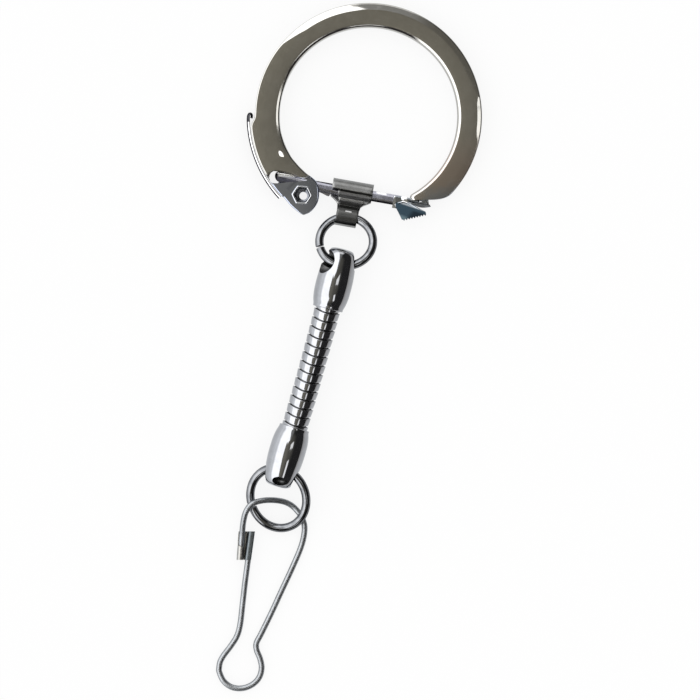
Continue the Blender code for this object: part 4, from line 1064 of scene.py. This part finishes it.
# --------------------------------------------------------------- the wire hook
HOOK_FRAME = [
    (240.3, 558.4, 0.86), (241.0, 548.0, 0.86), (241.9, 536.0, 0.98),
    (243.2, 523.0, 1.62), (245.8, 512.2, 2.13), (251.6, 504.2, 2.24),
    (261.2, 500.8, 1.92), (272.6, 500.2, 1.42), (283.6, 501.8, 0.86),
    (291.5, 505.6, 0.49), (298.4, 512.4, 0.44), (303.2, 521.0, 0.44),
    (304.5, 531.0, 0.44), (301.2, 546.5, 0.44), (292.3, 567.8, 0.44),
    (281.7, 590.6, 0.44), (271.0, 613.8, 0.44), (260.8, 634.6, 0.44),
    (256.3, 643.5, 0.44), (256.6, 650.5, 0.44), (260.0, 659.0, 0.44),
    (261.6, 668.4, 0.44), (259.0, 678.0, 0.44), (251.8, 685.2, 0.44),
    (241.6, 688.7, 0.44), (231.2, 687.3, 0.44), (223.2, 681.0, 0.44),
    (219.1, 672.0, 0.44)]
HOOK_GATE = [
    (218.85, 669.6, 0.44), (219.9, 662.6, 0.44), (223.6, 655.6, 0.44),
    (230.6, 646.4, 0.44), (237.0, 636.0, 0.44), (240.2, 624.0, 0.44),
    (242.3, 606.0, 0.50), (244.8, 584.0, 0.60), (247.6, 563.0, 0.76),
    (250.0, 546.0, 0.86), (251.9, 532.0, 0.90)]


def make_hook():
    pivot = plan(218.85, 669.6, 0.44)
    fr = spline([plan(*p) for p in HOOK_FRAME] + [pivot], 14)
    fr = relax(even(fr, 420), 3)
    v, f, lay = tube(fr, 0.425 * MM, 32, start="cut", end="dome", lip=0.05)
    a = mesh_object("hook_frame_fine", v, f, m_wire, lay, sharp=50.0)
    done(a, "hook", "hook_wire_steel", "hook_frame")
    ga = spline([plan(*p) for p in HOOK_GATE], 14)
    ga = relax(even(ga, 190), 3)
    v, f, lay = tube(ga, 0.425 * MM, 32, start="dome", end="cut", lip=0.07)
    lay = lay + np.array([0.05, 0, 0])
    b = mesh_object("hook_gate_fine", v, f, m_wire, lay, sharp=50.0)
    done(b, "hook_gate_arm", "hook_wire_steel", "hook_gate")

    # catch: thin sheet behind both wires, folded round the frame's end
    t = 0.11
    wire_z, back = 0.86, 0.17
    rows, lays = [], []
    ks = np.linspace(0, 1, 24)
    for k in ks:
        y = 531.6 + (560.0 - 531.6) * k
        wx = np.interp(y, [531.6, 536.0, 548.0, 560.0], [242.3, 241.9, 241.0, 240.2])
        gx = np.interp(y, [531.6, 546.0, 563.0], [251.9, 250.0, 247.6])
        rr = (0.425 + 0.02 + t / 2)
        over = float(smoothstep(0.42, 0.56, k))
        pts = [((gx + 2.5 - wx) * K, back + 0.26), ((gx + 2.2 - wx) * K, back + 0.08),
               ((gx + 1.0 - wx) * K, back), (3.6 * K, back), (1.2 * K, wire_z - rr)]
        for b in np.linspace(200, 200 + 70 + 130 * over, 14):
            q = math.radians(b)
            pts.append((rr * math.sin(q), wire_z + rr * math.cos(q)))
        line = even(spline(pts, 4), 60)
        tan = unit(np.gradient(line, axis=0))
        nrm = np.stack([-tan[:, 1], tan[:, 0]], 1)
        loop = np.vstack([line + nrm * t / 2, (line - nrm * t / 2)[::-1]])
        rows.append(plan_rows(np.stack([wx + loop[:, 0] / K, np.full(len(loop), y)], 1),
                              np.maximum(loop[:, 1], 0.03)))
        lays.append(np.stack([np.full(len(loop), y * U), loop[:, 0] * MM, loop[:, 1] * MM], 1))
    v, lay = np.stack(rows, 0), np.stack(lays, 0)
    n, w = v.shape[:2]
    faces = quads(n, w, wrap_m=True) + [tuple(range(w))[::-1],
                                        tuple((n - 1) * w + q for q in range(w))]
    c = mesh_object("hook_catch_fine", v.reshape(-1, 3), faces, m_catch, lay.reshape(-1, 3),
                    sharp=35.0)
    rows, lays = [], []
    for k in ks:                                       # the lip that covers the gate's end
        y = 531.6 + (560.0 - 531.6) * k
        wx = np.interp(y, [531.6, 536.0, 548.0, 560.0], [242.3, 241.9, 241.0, 240.2])
        gx = np.interp(y, [531.6, 546.0, 563.0], [251.9, 250.0, 247.6])
        mid = 0.5 * (wx + gx)
        pts = [(gx + 2.7, 1.30), (gx + 2.3, 1.42), (gx + 1.2, 1.47), (gx - 0.8, 1.47), (gx - 2.2, 1.41),
               (gx - 3.1, 1.20), (mid + 0.35, 0.85), (mid + 0.2, 0.50), (mid, back)]
        line = even(spline([(x * K, z) for x, z in pts], 4), 40)
        tan = unit(np.gradient(line, axis=0))
        nrm = np.stack([-tan[:, 1], tan[:, 0]], 1)
        loop = np.vstack([line + nrm * t / 2, (line - nrm * t / 2)[::-1]])
        rows.append(plan_rows(np.stack([loop[:, 0] / K, np.full(len(loop), y)], 1),
                              np.clip(loop[:, 1], 0.03, 1.62)))
        lays.append(np.stack([np.full(len(loop), y * U), loop[:, 0] * MM, loop[:, 1] * MM], 1))
    v, lay = np.stack(rows, 0), np.stack(lays, 0)
    n, w = v.shape[:2]
    faces = quads(n, w, wrap_m=True) + [tuple(range(w))[::-1],
                                        tuple((n - 1) * w + q for q in range(w))]
    carve(c, [mesh_object("lip", v.reshape(-1, 3), faces, m_catch, lay.reshape(-1, 3))], 'UNION', 35.0)
    done(c, "hook", "catch_steel", "hook_catch")


make_ring()
make_rivet()
make_spring()
make_gate()
make_latch()
make_strap()
make_jump_rings()
make_chain()
make_hook()


# ----------------------------------------------------------- floor, light, view
def make_floor():
    bm = bmesh.new()
    bmesh.ops.create_grid(bm, x_segments=8, y_segments=8, size=6.0)
    me = bpy.data.meshes.new("floor")
    bm.to_mesh(me)
    bm.free()
    ob = bpy.data.objects.new("floor", me)
    bpy.context.scene.collection.objects.link(ob)
    ob.location.z = -0.00002
    g = Graph("floor_paper")
    g.bsdf.inputs["Base Color"].default_value = (0.93, 0.93, 0.93, 1.0)
    g.bsdf.inputs["Roughness"].default_value = 0.85
    g.bsdf.inputs["Specular IOR Level"].default_value = 0.1
    path = g.node("ShaderNodeLightPath")
    glow = g.node("ShaderNodeEmission")                    # lit from below, as a light table is
    glow.inputs["Color"].default_value = (1.0, 1.0, 1.0, 1.0)
    table = g.node("ShaderNodeMixShader")
    table.inputs[0].default_value = 0.84
    g.link(g.bsdf.outputs[0], table.inputs[1])
    g.link(glow.outputs[0], table.inputs[2])
    # what polished metal sees of the floor: painted reflection, bright on the left half and grey on the right
    seen = g.node("ShaderNodeEmission")
    co = g.node("ShaderNodeTexCoord")
    sep = g.node("ShaderNodeSeparateXYZ")
    g.link(co.outputs["Object"], sep.inputs[0])
    side = g.span(sep.outputs[0], -0.05, 0.05, 1.0, 0.0)
    g.link(g.mix(side, (0.50, 0.49, 0.48), (1.00, 1.03, 1.06)), seen.inputs["Color"])
    mix = g.node("ShaderNodeMixShader")
    g.link(path.outputs["Is Glossy Ray"], mix.inputs[0])
    g.link(table.outputs[0], mix.inputs[1])
    g.link(seen.outputs[0], mix.inputs[2])
    g.link(mix.outputs[0], g.t.nodes["Material Output"].inputs["Surface"])
    me.materials.append(g.mat)


def make_world():
    """Studio round the clip: an even pale dome for the floor, and what the polished
    metal sees: a wide soft panel to the left, a narrow one to the right, a small
    bright window, and a dim ceiling."""
    w = bpy.data.worlds.new("studio")
    bpy.context.scene.world = w
    w.use_nodes = True
    t = w.node_tree
    t.nodes.clear()
    new = t.nodes.new
    out = new("ShaderNodeOutputWorld")

    def op(kind, *args, clamp=False):
        n = new("ShaderNodeMath")
        n.operation = kind
        n.use_clamp = clamp
        for i, x in enumerate(args):
            if isinstance(x, (int, float)):
                n.inputs[i].default_value = x
            else:
                t.links.new(x, n.inputs[i])
        return n.outputs[0]

    def ramp(x, a, b):
        n = new("ShaderNodeMapRange")
        n.interpolation_type = 'SMOOTHSTEP'
        n.inputs["From Min"].default_value, n.inputs["From Max"].default_value = a, b
        t.links.new(x, n.inputs["Value"])
        return n.outputs["Result"]

    def mix(fac, a, b):
        n = new("ShaderNodeMix")
        n.data_type = 'RGBA'
        t.links.new(fac, n.inputs[0])
        for i, x in ((6, a), (7, b)):
            if isinstance(x, tuple):
                n.inputs[i].default_value = (*x, 1.0)
            else:
                t.links.new(x, n.inputs[i])
        return n.outputs[2]

    co = new("ShaderNodeTexCoord")
    sep = new("ShaderNodeSeparateXYZ")
    t.links.new(co.outputs["Generated"], sep.inputs[0])
    x, y, z = sep.outputs
    az = op('ARCTAN2', y, x)                       # radians, 0 right, pi/2 up the picture
    ze = op('ARCCOSINE', z)                        # radians from overhead
    deg = math.radians

    ceil = mix(ramp(x, -0.15, 0.20), (0.262, 0.248, 0.208), (0.138, 0.132, 0.115))
    base = mix(ramp(ze, deg(17), deg(42)), ceil, (0.030, 0.029, 0.030))
    # grey light from the top of the picture, brighter lower down
    away = op('ABSOLUTE', op('SUBTRACT', az, deg(84)))
    top_m = op('MULTIPLY', op('SUBTRACT', 1.0, ramp(away, deg(12), deg(30))), ramp(ze, deg(9), deg(16)))
    top_c = mix(op('MULTIPLY', ramp(ze, deg(42), deg(50)), op('SUBTRACT', 1.0, ramp(ze, deg(70), deg(80)))),
                (0.29, 0.29, 0.285), (1.25, 1.25, 1.25))
    base = mix(top_m, base, top_c)
    # wide soft panel to the left, and its upper wing
    turn = op('MODULO', op('ADD', az, 2 * math.pi), 2 * math.pi)
    az2 = op('ABSOLUTE', op('SUBTRACT', turn, deg(184)))
    left_m = op('MULTIPLY', op('SUBTRACT', 1.0, ramp(az2, deg(48), deg(56))), ramp(ze, deg(17.5), deg(21)))
    az3 = op('ABSOLUTE', op('SUBTRACT', turn, deg(117)))
    wing_m = op('MULTIPLY', op('SUBTRACT', 1.0, ramp(az3, deg(21), deg(25))), ramp(ze, deg(10.5), deg(13.5)))
    pale = mix(ramp(ze, deg(60), deg(74)), (2.30, 2.31, 2.33), (1.15, 1.18, 1.21))
    base = mix(op('MAXIMUM', left_m, wing_m), base, pale)
    # small panel to the right, high up
    off = op('ABSOLUTE', op('ADD', az, deg(1.0)))
    right_m = op('MULTIPLY', op('SUBTRACT', 1.0, ramp(off, deg(9.5), deg(12.5))),
                 op('MULTIPLY', ramp(ze, deg(10), deg(12.5)), op('SUBTRACT', 1.0, ramp(ze, deg(24), deg(28)))))
    base = mix(right_m, base, (1.50, 1.50, 1.48))
    # two small windows: one to the right and down, one straight down the picture
    wx = op('ABSOLUTE', op('SUBTRACT', x, 0.31))
    wy = op('ABSOLUTE', op('ADD', y, 0.34))
    win = op('MULTIPLY', op('SUBTRACT', 1.0, ramp(wx, 0.06, 0.09)),
             op('SUBTRACT', 1.0, ramp(wy, 0.09, 0.12)))
    base = mix(op('MULTIPLY', win, ramp(z, 0.5, 0.6)), base, (1.6, 1.6, 1.6))
    wx = op('ABSOLUTE', op('SUBTRACT', x, 0.02))
    wy = op('ABSOLUTE', op('ADD', y, 0.70))
    win = op('MULTIPLY', op('SUBTRACT', 1.0, ramp(wx, 0.12, 0.16)),
             op('SUBTRACT', 1.0, ramp(wy, 0.06, 0.09)))
    base = mix(op('MULTIPLY', win, ramp(z, 0.4, 0.5)), base, (1.1, 1.1, 1.1))

    see = new("ShaderNodeBackground")
    t.links.new(base, see.inputs["Color"])
    dome = new("ShaderNodeBackground")
    dome.inputs["Color"].default_value = (1.0, 1.0, 1.0, 1.0)
    dome.inputs["Strength"].default_value = 1.04
    path = new("ShaderNodeLightPath")
    ms = new("ShaderNodeMixShader")
    t.links.new(path.outputs["Is Glossy Ray"], ms.inputs[0])
    t.links.new(dome.outputs[0], ms.inputs[1])
    t.links.new(see.outputs[0], ms.inputs[2])
    t.links.new(ms.outputs[0], out.inputs["Surface"])


make_floor()
make_world()

cam = bpy.data.cameras.new("view")
cam.lens, cam.sensor_width, cam.sensor_fit = 500.0, 36.0, 'AUTO'
cam.clip_start, cam.clip_end = 0.05, 50.0
eye = bpy.data.objects.new("view", cam)
bpy.context.scene.collection.objects.link(eye)
eye.location = plan(350.0, 350.0, 2.0) + np.array([0.0, 0.0, 350.0 * U * 500.0 / 18.0])
bpy.context.scene.camera = eye
bpy.context.scene.view_settings.view_transform = 'Standard'
bpy.context.scene.view_settings.look = 'None'
